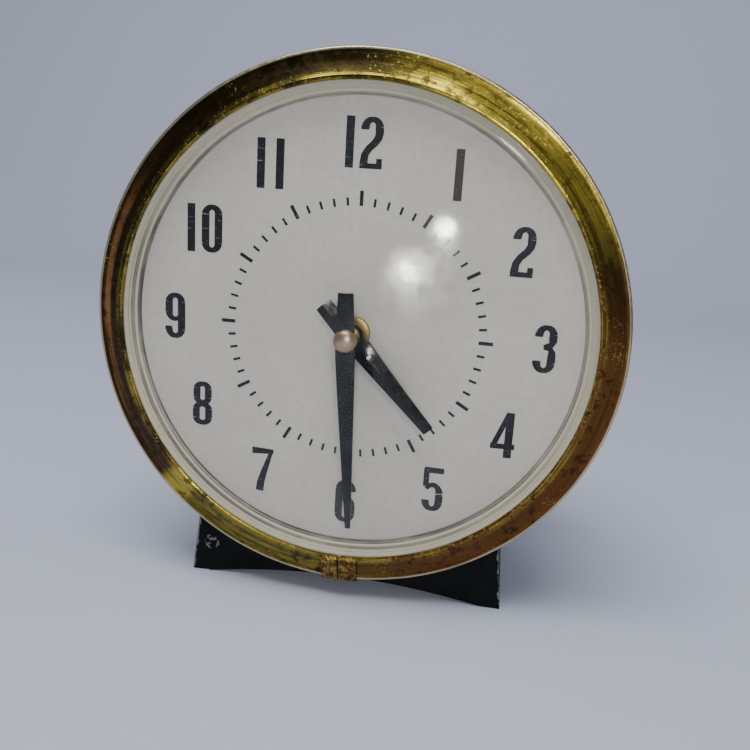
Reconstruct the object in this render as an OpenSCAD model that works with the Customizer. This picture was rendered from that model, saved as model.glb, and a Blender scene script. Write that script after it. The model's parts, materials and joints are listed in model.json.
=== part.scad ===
// Wind-up table alarm clock with a brass bezel, a domed crystal and a winged base.
// The clock stands on z = 0, faces -Y and is centred on x = 0 and y = 0.
// Inside in_clock() the x axis points right, y points up and z comes out of the dial,
// with the middle of the dial's face at the origin.

/* [Overall] */
// Outside radius of the brass bezel
bezel_r = 62; // [60:0.5:78]
// Gap between the underside of the bezel and the table
bezel_lift = 5.5; // [3:0.5:20]
// Room for the bell between the movement and the back cover
bell_space = 12; // [12:0.5:24]

/* [Bezel and crystal] */
// Radial width of the bezel's sloping face
bezel_face_w = 6.8; // [4.5:0.1:9]
// Thickness of the brass sheet
bezel_wall = 0.5; // [0.4:0.05:0.8]
// Height of the bezel's inner lip over the dial
bezel_lip_z = 4.6; // [4:0.1:8]
// Height of the bezel's outer rim over the dial
bezel_rim_z = 1.5; // [0.5:0.1:2.5]
// Width of the folded clip that closes the bezel
clip_w = 8.1; // [5:0.1:14]
// Thickness of the clip's sheet
clip_wall = 0.5; // [0.3:0.05:0.8]
// Width of the slit in the bezel, under the clip
bezel_slit = 1.2; // [0.6:0.1:3]
// Thickness of the crystal
crystal_wall = 0.8; // [0.6:0.1:1.2]
// Height of the crystal's dome over its own rim
dome_rise = 11.5; // [11:0.1:16]

/* [Dial] */
// Thickness of the dial plate
dial_wall = 0.6; // [0.4:0.1:1]
// Radius of the part of the dial that shows
dial_face_r = 52.5; // [48:0.5:56]
// Outer radius of the minute track
track_r = 32; // [28:0.5:36]
// Length of an hour mark
hour_mark = 3.3; // [2:0.1:5]
// Length of a minute mark
minute_mark = 1.8; // [1:0.1:3]
// Radius of the circle through the middle of the numerals
numeral_r = 42.6; // [40:0.1:46]
// Height of a numeral
numeral_h = 11; // [8:0.1:13]
// Stroke width of the numerals
numeral_stroke = 1.9; // [1:0.1:2.4]
// Thickness of the printing
print_wall = 0.06; // [0.04:0.01:0.1]

/* [Hands] */
// Gap between the minute hand's tip and the foot of the glass dome
minute_reach = 6.2; // [4:0.1:16]
// Length of the hour hand from the centre
hour_len = 28.1; // [18:0.1:31]
// Length of the alarm hand from the centre
alarm_len = 19; // [10:0.1:24]
// Tail of the minute hand
minute_tail = 10.6; // [5:0.1:16]
// Tail of the hour hand
hour_tail = 9.4; // [5:0.1:14]
// Widest part of the minute hand
minute_w = 4.4; // [3:0.1:6]
// Widest part of the hour hand
hour_w = 4.8; // [3.5:0.1:7]
// Thickness of a hand
hand_wall = 0.5; // [0.3:0.05:0.6]
// Direction of the minute hand, clockwise from twelve
minute_dir = 177.7; // [0:0.1:360]
// Direction of the hour hand, clockwise from twelve
hour_dir = 136.4; // [0:0.1:360]
// Direction of the alarm hand, clockwise from twelve
alarm_dir = 136.4; // [0:0.1:360]
// Radius of the nut that holds the minute hand
nut_r = 2.6; // [1.8:0.1:3.5]

/* [Case and base] */
// Thickness of the case
case_wall = 1; // [0.6:0.1:1.6]
// Radius of the rounded shoulder at the back of the case
shoulder_r = 7; // [3:0.5:10]
// Half of the base's width where it meets the table
base_half_w = 40; // [30:0.5:48]
// Height of the base's sides above the table
base_rise = 24; // [18:0.5:28]
// How much narrower each side of the base is at the top than at the table
base_taper = 2.7; // [0:0.1:6]
// Depth of the base from front to back
base_depth = 40; // [30:0.5:44]
// Gap from the dial's face back to the front of the base
base_set_back = 3; // [2.6:0.1:6]
// Wall of the base
base_wall = 2; // [1.2:0.1:3]
// Width of the flat foot at each side of the base
foot_w = 5; // [3:0.1:10]
// Height of the arch between the feet
arch_rise = 3.3; // [0.5:0.1:5]
// Radius of the screws that hold the base
base_screw_r = 1.5; // [1:0.1:2]

/* [Movement] */
// Radius of the movement's plates
plate_r = 41; // [41:0.5:43]
// Thickness of a plate
plate_wall = 1.5; // [1:0.1:1.5]
// Gap between the plates
plate_gap = 22; // [22:0.1:28]
// Distance from the dial's face to the front plate
plate_drop = 9; // [9:0.1:11]
// Radius of a pillar
pillar_r = 2; // [1.5:0.1:2.5]
// Radial clearance of a shaft that turns in a hole
run_fit = 0.06; // [0.03:0.01:0.1]
// Radial clearance of pieces that are fixed to each other
snug_fit = 0.02; // [0.01:0.01:0.03]
// Radius of a pivot in a plate
pivot_r = 0.5; // [0.4:0.05:0.6]
// Radius of the centre arbor
centre_arbor_r = 0.9; // [0.7:0.05:1]
// Wall of the hands' pipes
pipe_wall = 0.5; // [0.4:0.05:0.6]
// Radius of the winding arbors
wind_arbor_r = 2; // [1.5:0.1:2.4]
// Radius of the alarm setting arbor
set_arbor_r = 1.2; // [0.8:0.1:1.5]
// Outer radius of a mainspring
mainspring_r = 16.6; // [13:0.1:17]
// Width of a mainspring
mainspring_w = 11; // [6:0.5:11.5]

/* [Gears] */
// Tooth size of the great wheels
great_mod = 0.6; // [0.6:0.01:0.61]
// Teeth of each great wheel
great_teeth = 60; // [60:1:60]
// Leaves of the pinions in the trains
train_leaves = 10; // [10:1:10]
// Tooth size of the centre wheel
centre_mod = 0.4; // [0.4:0.01:0.41]
// Teeth of the centre wheel
centre_teeth = 80; // [80:1:80]
// Tooth size of the third wheel
third_mod = 0.35; // [0.35:0.01:0.36]
// Teeth of the third wheel
third_teeth = 75; // [75:1:75]
// Tooth size of the fourth wheel
fourth_mod = 0.3; // [0.3:0.01:0.31]
// Teeth of the fourth wheel
fourth_teeth = 64; // [64:1:64]
// Leaves of the escape wheel's pinion
escape_leaves = 8; // [8:1:8]
// Teeth of the escape wheel
escape_teeth = 15; // [15:1:15]
// Tooth size of the cannon pinion and the minute wheel
cannon_mod = 0.5; // [0.5:0.01:0.5]
// Leaves of the cannon pinion and of the alarm setting pinion
cannon_leaves = 12; // [12:1:12]
// Teeth of the minute wheel
minute_wheel_teeth = 36; // [36:1:36]
// Teeth of the hour wheel
hour_teeth = 40; // [40:1:40]
// Teeth of the alarm wheel
alarm_teeth = 60; // [60:1:60]

/* [Back] */
// Thickness of the back cover
cover_wall = 0.8; // [0.5:0.1:1.2]
// Width of the wings of a winding key
key_span = 20; // [14:0.5:22]
// Height of a winding key's wings
key_h = 9; // [6:0.5:10]
// Gap between the back cover and the keys and knobs
knob_gap = 1.2; // [0.6:0.1:2]
// Radius of the time setting knob
time_knob_r = 5.5; // [4:0.1:7]
// Radius of the alarm setting knob
alarm_knob_r = 4.8; // [3.5:0.1:6]
// Height of the setting knobs
knob_h = 8; // [5:0.5:10]
// Radius of the bell
bell_r = 12; // [9:0.5:12]
// Travel of the alarm's stop button
stop_travel = 3; // [2:0.1:4]

/* [Hidden] */
$fn = 96;

// Clearances between fixed pieces
face_gap = 0.05;
head_gap = 0.03;
screw_fit = 0.15;
saddle_gap = 0.3;
cover_fit = 0.5;
arbor_window = 0.7;
clip_gap = 0.08;

// Fronts and backs of the layers, along the clock's own z axis
dial_height = bezel_r + bezel_lift;
case_depth = plate_drop + 2 * plate_wall + plate_gap + bell_space;
plate_front_z = -plate_drop;
train_front_z = plate_front_z - plate_wall;
train_back_z = train_front_z - plate_gap;
plate_back_z = train_back_z - plate_wall;
cover_front_z = -case_depth;
cover_back_z = cover_front_z - cover_wall;
knob_front_z = cover_back_z - knob_gap;
key_back_z = knob_front_z - 3 - key_h;
crystal_rim_z = bezel_lip_z - bezel_wall - face_gap;
crystal_top_z = crystal_rim_z + dome_rise;
clock_y = (crystal_top_z + key_back_z) / 2;

// Radii of the case and of what the bezel holds
lip_r = bezel_r - bezel_face_w;
case_flange_r = bezel_r - bezel_wall - 0.4;
case_r = bezel_r - 5.5;
case_inner_r = case_r - case_wall;
case_back_r = case_r - shoulder_r;
cover_r = case_back_r - cover_fit;
dial_r = lip_r + 2.4;
crystal_r = lip_r + 0.9;
dome_r = lip_r - 1.9;
flange_top_z = crystal_rim_z - crystal_wall - face_gap;
case_flange_wall = 0.8;
bezel_back_z = -dial_wall - case_flange_wall - 2 * face_gap - bezel_wall;

// Base: the saddle follows the case and the arch runs between the feet
saddle_r = case_r + saddle_gap;
base_top_y = base_rise - dial_height;
arch_half_w = base_half_w - foot_w;
arch_r = (pow(arch_half_w, 2) + pow(arch_rise, 2)) / (2 * arch_rise);
base_back_z = -base_set_back - base_depth;
base_screw_z = [-base_set_back - base_depth * 0.3, -base_set_back - base_depth * 0.7];

// Radii of screws, studs and posts
movement_screw_r = 1.1;
cover_screw_r = 1;
bell_screw_r = 0.8;
balance_screw_r = 1.5;
pillar_stud_r = 1.3;
dial_foot_r = 1.2;
wind_pivot_r = 1.2;
hammer_arbor_r = 0.9;
post_r = 0.9;
head_h = 1.45;
lug_h = 4;
base_nut_h = 2.2;
nut_h = 1.5;

// Hands and their pipes, from the inside out
cannon_r = centre_arbor_r + snug_fit + pipe_wall;
hour_pipe_bore = cannon_r + run_fit;
hour_pipe_r = hour_pipe_bore + pipe_wall;
alarm_pipe_bore = hour_pipe_r + run_fit;
alarm_pipe_r = alarm_pipe_bore + pipe_wall;
grommet_bore = alarm_pipe_r + 0.1;
grommet_neck_r = grommet_bore + 0.4;
alarm_hand_z = 1.2;
hour_hand_z = 5.5;
minute_hand_z = 10.8;

// The glass dome, and the minute hand that slopes down under it
glass_ball_r = (pow(dome_r, 2) + pow(dome_rise, 2)) / (2 * dome_rise);
glass_middle_z = crystal_top_z - glass_ball_r;
minute_tip_gap = 0.3;
minute_len = dome_r - minute_reach;
minute_inner_z = glass_middle_z + sqrt(pow(glass_ball_r - crystal_wall, 2) - pow(minute_len, 2));
minute_drop = minute_hand_z - minute_inner_z + minute_tip_gap + hand_wall;

// Levels of the wheels behind the dial
alarm_wheel_z = -3.6;
alarm_wheel_wall = 1;
hour_wheel_z = -6.2;
hour_wheel_wall = 0.8;
minute_wheel_z = plate_front_z + 1.1;
minute_wheel_wall = 0.9;
let_off_z = alarm_wheel_z - 1.1;

// Levels of the wheels between the plates
centre_wheel_z = train_front_z - 1.4;
centre_pinion_back_z = train_front_z - 4.7;
time_great_z = train_front_z - 3.5;
great_wall = 1.2;
ratchet_wall = 1.1;
alarm_great_z = train_back_z + 1.4;
third_wheel_z = train_back_z + 2;
fourth_wheel_z = train_back_z + 6.5;
escape_wheel_z = train_back_z + 12.4;
escape_wall = 1;
lever_z = escape_wheel_z + escape_wall + 0.4;
balance_z = train_back_z + 10.4;
balance_wall = 1.4;
hairspring_z = train_back_z + 5.4;
hairspring_w = 0.9;
alarm_escape_z = train_front_z - 3.6;
time_ratchet_z = time_great_z - ratchet_wall - 0.15;
alarm_ratchet_z = alarm_great_z + great_wall + 0.15;
spring_z = (train_front_z + train_back_z) / 2 - mainspring_w / 2;

// Where the arbors stand, from the pitch radii
great_distance = great_mod * (great_teeth + train_leaves) / 2;
centre_distance = centre_mod * (centre_teeth + train_leaves) / 2;
third_distance = third_mod * (third_teeth + train_leaves) / 2;
fourth_distance = fourth_mod * (fourth_teeth + escape_leaves) / 2;
motion_distance = cannon_mod * (cannon_leaves + minute_wheel_teeth) / 2;
hour_mod = 2 * motion_distance / (hour_teeth + train_leaves);
alarm_distance = cannon_mod * (cannon_leaves + alarm_teeth) / 2;
time_arbor_dir = 202;
alarm_arbor_dir = 338;
third_dir = 109.5;
fourth_dir = 14;
escape_dir = 60;
alarm_escape_dir = 75;
minute_wheel_dir = 90;
alarm_set_dir = 270;
time_at = polar(great_distance, time_arbor_dir);
alarm_at = polar(great_distance, alarm_arbor_dir);
third_at = polar(centre_distance, third_dir);
fourth_at = third_at + polar(third_distance, fourth_dir);
escape_at = fourth_at + polar(fourth_distance, escape_dir);
pallet_at = escape_at + polar(9.75, 166.5);
balance_at = pallet_at + polar(13, 183);
alarm_escape_at = alarm_at + polar(great_distance, alarm_escape_dir);
minute_wheel_at = polar(motion_distance, minute_wheel_dir);
alarm_set_at = polar(alarm_distance, alarm_set_dir);
hammer_at = alarm_escape_at + polar(7.5, 120);
bell_at = [0, 25];
stop_at = [27, 25];
let_off_at = [24, -6];
click_at = polar(11.5, 40);
pillar_places = [for (a = [30, 150, 245, 295]) polar(plate_r - 4.5, a)];
ear_places = [for (a = [90, 210, 330]) polar(case_inner_r - 4.5, a)];
dial_foot_places = [[-30, 0], [30, 0]];
cover_screw_places = [for (a = [60, 180, 300]) polar(cover_r - 2.3, a)];

// Phases that put each pair of wheels in mesh
centre_pinion_phase = mesh_phase(0, great_teeth, train_leaves, time_arbor_dir + 180);
third_pinion_phase = mesh_phase(0, centre_teeth, train_leaves, third_dir);
fourth_pinion_phase = mesh_phase(0, third_teeth, train_leaves, fourth_dir);
escape_pinion_phase = mesh_phase(0, fourth_teeth, escape_leaves, escape_dir);
alarm_pinion_phase = mesh_phase(0, great_teeth, train_leaves, alarm_escape_dir);
minute_wheel_phase = mesh_phase(0, cannon_leaves, minute_wheel_teeth, minute_wheel_dir);
hour_wheel_phase = mesh_phase(0, train_leaves, hour_teeth, minute_wheel_dir + 180);
set_pinion_phase = mesh_phase(0, alarm_teeth, cannon_leaves, alarm_set_dir);

// Pallets, roller and hammer stand this far clear of the wheels that they work with
work_gap = 0.15;
escape_tip_r = 5.2;
pallet_pin_r = 0.35;
ratchet_tip_r = 6;
ratchet_teeth = 16;
roller_r = 1.8;
hammer_head_r = 2;
bell_gap = 0.4;
bell_wall = 0.8;
bell_h = 7;
bell_back_z = cover_front_z + 1.4;
bell_reach = bell_r + bell_gap + hammer_head_r;
hammer_span = norm(hammer_at - bell_at);
hammer_line = atan2(hammer_at[1] - bell_at[1], hammer_at[0] - bell_at[0]);
hammer_head_at = bell_at + polar(bell_reach, hammer_line + acos(bell_reach / hammer_span));
regulator_len = 10;
regulator_dir = 180;
key_wall = 1.6;
stop_r = 2;

function polar(r, a) = [r * cos(a), r * sin(a)];
// Phase of the second wheel of a pair, when the line from the first to the second points along dir
function mesh_phase(first, first_teeth, second_teeth, dir) =
  dir + 180 + 180 / second_teeth - (first - dir) * first_teeth / second_teeth;
function arc(r, from, to, steps, at = [0, 0]) =
  [for (i = [0:steps]) at + polar(r, from + (to - from) * i / steps)];

module in_clock() {
  translate([0, clock_y, dial_height])
    rotate([90, 0, 0])
      children();
}
module at(place, z = 0) {
  translate([place[0], place[1], z])
    children();
}
// A cylinder from z0 up to z1
module rod(r, z0, z1) {
  translate([0, 0, z0])
    cylinder(r = r, h = z1 - z0);
}
module ring(r, bore, z0, z1) {
  difference() {
    rod(r, z0, z1);
    rod(bore, z0 - 1, z1 + 1);
  }
}
module disc_of(points) {
  rotate_extrude()
    polygon(points);
}
// A flat gear with straight-sided teeth
module gear_shape(teeth, mod, phase, add = 0.75, ded = 1.15) {
  pitch = teeth * mod / 2;
  tooth = 360 / teeth;
  polygon([
    for (i = [0:teeth - 1])
      for (p = [[-ded, -0.25], [0, -0.2], [add, -0.09], [add, 0.09], [0, 0.2], [-ded, 0.25]])
        polar(pitch + p[0] * mod, phase + tooth * (i + p[1]))
  ]);
}
module wheel(teeth, mod, phase, z, wall, rim, hub_r, spokes) {
  window_r = teeth * mod / 2 - 1.2 * mod - rim;
  translate([0, 0, z])
    linear_extrude(wall)
      difference() {
        gear_shape(teeth, mod, phase);
        for (i = [0:1:spokes - 1])
          rotate(360 * i / spokes)
            wheel_window(hub_r, window_r, 360 / spokes);
      }
}
// One opening between two spokes
module wheel_window(hub_r, window_r, share) {
  spoke = 1.4;
  inner_half = share / 2 - asin(spoke / 2 / hub_r);
  outer_half = share / 2 - asin(spoke / 2 / window_r);
  polygon(concat(
    arc(window_r, -outer_half, outer_half, 8),
    arc(hub_r, inner_half, -inner_half, 4)
  ));
}
module pinion(teeth, mod, phase, z0, z1) {
  translate([0, 0, z0])
    linear_extrude(z1 - z0)
      gear_shape(teeth, mod, phase, 0.55, 1.25);
}
// An arbor between the plates, with a pivot in each
module train_arbor(r) {
  rod(r, train_back_z + 0.3, train_front_z - 0.3);
  rod(pivot_r, train_back_z - plate_wall + 0.2, train_back_z + 0.3);
  rod(pivot_r, train_front_z - 0.3, train_front_z + plate_wall - 0.2);
}
// A flat band wound on itself from one radius out to another
module spiral_band(inner_r, outer_r, turns, wall, z, w) {
  steps = turns * 20;
  growth = (outer_r - inner_r) / steps;
  translate([0, 0, z])
    linear_extrude(w)
      polygon(concat(
        [for (i = [0:steps]) polar(inner_r + growth * i + wall / 2, 360 * turns * i / steps)],
        [for (i = [steps:-1:0]) polar(inner_r + growth * i - wall / 2, 360 * turns * i / steps)]
      ));
}
module bar(from, to, w, z, wall) {
  run = to - from;
  at(from, z)
    rotate(atan2(run[1], run[0]))
      translate([0, -w / 2, 0])
        cube([norm(run), w, wall]);
}

// Bezel, crystal and dial
module bezel_ring() {
  color("darkgoldenrod")
    in_clock()
      difference() {
        rotate_extrude($fn = 180)
          bezel_profile();
        translate([-bezel_slit / 2, -bezel_r - 2, -8])
          cube([bezel_slit, bezel_face_w + 6, 16]);
      }
}
// The bezel's sheet: a sloping face, an outer wall and a lip turned in behind the case's flange
module bezel_profile() {
  polygon([
    [lip_r, bezel_lip_z - bezel_wall],
    [lip_r, bezel_lip_z],
    [lip_r + 0.8, bezel_lip_z],
    [bezel_r - 0.6, bezel_rim_z + 0.8],
    [bezel_r, bezel_rim_z],
    [bezel_r, bezel_back_z],
    [case_r + 1.6, bezel_back_z],
    [case_r + 1.6, bezel_back_z + bezel_wall],
    [bezel_r - bezel_wall, bezel_back_z + bezel_wall],
    [bezel_r - bezel_wall, bezel_rim_z - 0.2],
    [bezel_r - 0.6 - bezel_wall / 2, bezel_rim_z + 0.8 - bezel_wall],
    [lip_r + 0.8, bezel_lip_z - bezel_wall]
  ]);
}
// The clip's sheet lies on the outside of the bezel and is turned in at both ends
module clip_profile() {
  g = clip_gap;
  o = clip_gap + clip_wall;
  polygon([
    [lip_r - g, crystal_rim_z + 0.1],
    [lip_r - o, crystal_rim_z + 0.1],
    [lip_r - o, bezel_lip_z + o],
    [lip_r + 0.8 + o / 3, bezel_lip_z + o],
    [bezel_r - 0.6 + o / 2, bezel_rim_z + 0.8 + o],
    [bezel_r + o, bezel_rim_z + o / 3],
    [bezel_r + o, bezel_back_z - g],
    [bezel_r + g, bezel_back_z - g],
    [bezel_r + g, bezel_rim_z + g],
    [bezel_r - 0.6 + g, bezel_rim_z + 0.8 + g],
    [lip_r + 0.8, bezel_lip_z + g],
    [lip_r - g, bezel_lip_z + g]
  ]);
}
module bezel_clip() {
  clip_deg = 2 * asin(clip_w / 2 / (bezel_r - bezel_face_w / 2));
  color("goldenrod")
    in_clock()
      rotate(-90 - clip_deg / 2)
        rotate_extrude(angle = clip_deg, $fn = 180)
          clip_profile();
}
module crystal() {
  half = asin(dome_r / glass_ball_r);
  inner_r = glass_ball_r - crystal_wall;
  steps = 14;
  color("lightcyan", 0.35)
    in_clock()
      disc_of(concat(
        [for (i = [0:steps]) polar(glass_ball_r, 90 - half * i / steps) + [0, glass_middle_z]],
        [[crystal_r, crystal_rim_z], [crystal_r, crystal_rim_z - crystal_wall]],
        [[dome_r - 0.4, crystal_rim_z - crystal_wall]],
        [for (i = [steps - 1:-1:0]) polar(inner_r, 90 - half * i / steps) + [0, glass_middle_z]]
      ));
}
module dial_flange() {
  wall = 0.5;
  color("ivory")
    in_clock()
      disc_of([
        [dial_face_r, 0.05],
        [dial_face_r, 0.4],
        [lip_r - 0.1, flange_top_z],
        [crystal_r, flange_top_z],
        [crystal_r, 0.05],
        [crystal_r - wall, 0.05],
        [crystal_r - wall, flange_top_z - wall],
        [lip_r + 0.1, flange_top_z - wall],
        [dial_face_r + 0.7, 0.05]
      ]);
}
module dial_plate() {
  color("gainsboro")
    in_clock() {
      difference() {
        rod(dial_r, -dial_wall, 0);
        rod(grommet_neck_r + snug_fit, -dial_wall - 1, 1);
      }
      for (p = dial_foot_places)
        at(p)
          rod(dial_foot_r, plate_front_z - 1, -dial_wall);
    }
}
module dial_track() {
  color("midnightblue")
    in_clock()
      for (i = [0:59])
        rotate(6 * i)
          track_mark(i % 5 == 0);
}
module track_mark(is_hour) {
  len = is_hour ? hour_mark : minute_mark;
  w = is_hour ? 0.8 : 0.55;
  start = track_r - hour_mark;
  translate([-w / 2, start, 0])
    cube([w, len, print_wall]);
}
module dial_numerals() {
  color("midnightblue")
    in_clock()
      for (hour = [1:12])
        at(numeral_r * [sin(30 * hour), cos(30 * hour)])
          linear_extrude(print_wall)
            numeral(hour);
}
module numeral(hour) {
  tens = floor(hour / 10);
  if (tens == 0)
    digit(hour);
  if (tens == 1) {
    translate([-numeral_h * 0.29, 0])
      digit(1);
    translate([numeral_h * 0.2, 0])
      digit(hour - 10);
  }
}
// A narrow stadium outline, used by the round digits
module bowl(w, h) {
  r = w / 2;
  s = numeral_stroke;
  difference() {
    union() {
      square([w, h - w], center = true);
      translate([0, (h - w) / 2])
        circle(r, $fn = 24);
      translate([0, (w - h) / 2])
        circle(r, $fn = 24);
    }
    square([w - 2 * s, h - w], center = true);
    translate([0, (h - w) / 2])
      circle(r - s, $fn = 24);
    translate([0, (w - h) / 2])
      circle(r - s, $fn = 24);
  }
}
module digit(d) {
  h = numeral_h;
  s = numeral_stroke;
  w = h * 0.46;
  top = h / 2;
  if (d == 1)
    square([s, h], center = true);
  if (d == 0)
    bowl(w, h);
  if (d == 8) {
    translate([0, h * 0.22])
      bowl(w * 0.94, h * 0.56);
    translate([0, -h * 0.22])
      bowl(w, h * 0.56);
  }
  if (d == 6 || d == 9)
    rotate(d == 9 ? 180 : 0) {
      translate([0, -h * 0.17])
        bowl(w, h * 0.66);
      translate([-w / 2, 0])
        square([s, h * 0.36]);
      translate([-w / 2 + s / 2, h * 0.5 - s])
        square([w - s, s * 0.8]);
    }
  if (d == 2) {
    translate([w / 2 - s, h * 0.14])
      square([s, h * 0.36]);
    translate([-w / 2, top - s * 0.8])
      square([w, s * 0.8]);
    translate([-w / 2, h * 0.26])
      square([s, h * 0.2]);
    polygon([[w / 2 - s, h * 0.14], [w / 2, h * 0.14], [s - w / 2, s - top], [-w / 2, s - top]]);
    translate([-w / 2, -top])
      square([w, s]);
  }
  if (d == 3 || d == 5) {
    translate([w / 2 - s, -top])
      square([s, h * (d == 5 ? 0.6 : 1)]);
    for (y = [-top, top - s * 0.8])
      translate([-w / 2, y])
        square([w, s * 0.8]);
    translate([-w / 2 + (d == 3 ? s : 0), 0])
      square([w - s, s * 0.8]);
    if (d == 5)
      translate([-w / 2, 0])
        square([s, h / 2]);
  }
  if (d == 4) {
    translate([w * 0.1, -top])
      square([s, h]);
    translate([-w * 0.66, -h * 0.24])
      square([w * 1.2, s * 0.7]);
    polygon([[-w * 0.66, -h * 0.2], [-w * 0.66 + s * 0.7, -h * 0.2], [w * 0.2, top], [w * 0.1, top]]);
  }
  if (d == 7) {
    translate([-w / 2, top - s * 0.8])
      square([w, s * 0.8]);
    polygon([[w / 2 - s, top], [w / 2, top], [0, -top], [-s, -top]]);
  }
}
module dial_grommet() {
  color("goldenrod")
    in_clock()
      difference() {
        union() {
          rod(grommet_neck_r, -dial_wall, 0.05);
          rod(grommet_neck_r + 0.7, 0.02, 0.5);
        }
        rod(grommet_bore, -dial_wall - 1, 2);
      }
}

// Hands
module hand_blade(len, tail, w, tip_w, tail_w) {
  polygon([
    [-tail_w / 2, -tail],
    [tail_w / 2, -tail],
    [w / 2, len * 0.12],
    [tip_w / 2, len],
    [-tip_w / 2, len],
    [-w / 2, len * 0.12]
  ]);
}
module hand(dir, z, bore, hub_r, len, tail, w, tip_w, tail_w) {
  in_clock()
    rotate(-dir)
      translate([0, 0, z])
        linear_extrude(hand_wall)
          difference() {
            union() {
              hand_blade(len, tail, w, tip_w, tail_w);
              circle(hub_r);
            }
            circle(bore);
          }
}
// The minute hand is flat round its hub, and slopes towards the dial from slope_start outwards
module minute_hand() {
  tail_w = 3.4;
  tip_w = 1.3;
  slope_start = 4;
  slope = asin(minute_drop / (minute_len - slope_start));
  color([0.07, 0.08, 0.09])
    in_clock()
      rotate(-minute_dir)
        translate([0, 0, minute_hand_z]) {
          linear_extrude(hand_wall)
            difference() {
              polygon([
                [-tail_w / 2, -minute_tail],
                [tail_w / 2, -minute_tail],
                [minute_w / 2, slope_start],
                [-minute_w / 2, slope_start]
              ]);
              circle(centre_arbor_r + snug_fit);
            }
          translate([0, slope_start, 0])
            rotate([-slope, 0, 0])
              linear_extrude(hand_wall)
                polygon([
                  [-minute_w / 2, 0],
                  [minute_w / 2, 0],
                  [tip_w / 2, minute_len - slope_start],
                  [-tip_w / 2, minute_len - slope_start]
                ]);
        }
}
module hour_hand() {
  color([0.07, 0.08, 0.09])
    hand(hour_dir, hour_hand_z, hour_pipe_r + snug_fit, 3.2, hour_len, hour_tail, hour_w, 2.6, 3.9);
}
module alarm_hand() {
  color("goldenrod")
    hand(alarm_dir, alarm_hand_z, alarm_pipe_r + snug_fit, 3.7, alarm_len, 3.7, 1.8, 1, 1.8);
}
module hand_nut() {
  h = 1.7;
  base_z = minute_hand_z + hand_wall + head_gap;
  color("peru")
    in_clock()
      difference() {
        disc_of(concat(
          [[0, base_z], [nut_r, base_z]],
          [for (a = [0:15:90]) [nut_r * cos(a), base_z + 0.5 + (h - 0.5) * sin(a)]]
        ));
        rod(centre_arbor_r + snug_fit, base_z - 1, base_z + 0.9);
      }
}

// Case and base
module case_shell() {
  straight_z = -case_depth + shoulder_r;
  front_z = -dial_wall;
  flange_z = front_z - case_flange_wall;
  lip = 3.6;
  color([0.07, 0.08, 0.09])
    in_clock()
      difference() {
        union() {
          disc_of(concat(
            [[case_flange_r, front_z], [case_flange_r, flange_z], [case_r, flange_z]],
            arc(shoulder_r, 0, -90, 10, [case_back_r, straight_z]),
            [[cover_r - lip, -case_depth], [cover_r - lip, -case_depth + case_wall]],
            arc(shoulder_r - case_wall, -90, 0, 10, [case_back_r, straight_z]),
            [[case_inner_r, front_z]]
          ));
          for (p = ear_places)
            case_lug(p);
        }
        for (z = base_screw_z)
          at([0, -case_r], z)
            rotate([90, 0, 0])
              cylinder(r = base_screw_r + screw_fit, h = 8 * case_wall, center = true);
        for (p = ear_places)
          at(p)
            rod(movement_screw_r + snug_fit, train_front_z - lug_h - 1, train_front_z + 1);
        for (p = cover_screw_places)
          at(p)
            rod(cover_screw_r + snug_fit, -case_depth - 1, -case_depth + 3);
      }
}
// A block inside the case that takes one of the movement's screws
module case_lug(place) {
  reach = case_inner_r + 0.5 - norm(place);
  translate([0, 0, train_front_z - lug_h])
    rotate(atan2(place[1], place[0]))
      translate([norm(place) - 2.8, -3, 0])
        cube([reach + 2.8, 6, lug_h]);
}
module base_stand() {
  hole_h = 4 * (base_wall + saddle_gap + case_wall);
  color([0.06, 0.06, 0.07])
    in_clock()
      difference() {
        translate([0, 0, base_back_z])
          linear_extrude(base_depth)
            base_outline(0);
        translate([0, 0, base_back_z + base_wall])
          linear_extrude(base_depth - 2 * base_wall)
            difference() {
              base_outline(base_wall);
              circle(saddle_r + base_wall);
            }
        rod(saddle_r, base_back_z - 1, 1);
        at([0, arch_rise - dial_height - arch_r])
          rod(arch_r, base_back_z - 1, 1);
        for (z = base_screw_z)
          at([0, -case_r], z)
            rotate([90, 0, 0])
              cylinder(r = base_screw_r + screw_fit, h = hole_h, center = true);
      }
}
// The base from the front; an inset gives the hollow inside, which runs out below
module base_outline(inset) {
  bottom_y = -dial_height - inset * 3;
  polygon([
    [-base_half_w + inset, bottom_y],
    [base_half_w - inset, bottom_y],
    [base_half_w - inset - base_taper, base_top_y],
    [-base_half_w + inset + base_taper, base_top_y]
  ]);
}

// A screw along -y of the clock: the head is under the base's saddle and the thread goes up
module base_screws() {
  head_y = -saddle_r - base_wall - head_gap - head_h;
  shank_h = head_h + head_gap + base_wall + saddle_gap + case_wall + base_nut_h + 1;
  color("dimgray")
    in_clock()
      for (z = base_screw_z)
        at([0, head_y], z)
          rotate([-90, 0, 0])
            difference() {
              union() {
                cylinder(r = base_screw_r * 1.9, h = head_h);
                cylinder(r = base_screw_r, h = shank_h);
              }
              translate([-0.4, -4, -1])
                cube([0.8, 8, 1.6]);
            }
}
module base_nuts() {
  color("dimgray")
    in_clock()
      for (z = base_screw_z)
        at([0, -case_inner_r + 0.35], z)
          rotate([-90, 0, 0])
            difference() {
              cylinder(r = base_screw_r * 2, h = base_nut_h, $fn = 6);
              translate([0, 0, -1])
                cylinder(r = base_screw_r + snug_fit, h = 5);
            }
}

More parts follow.
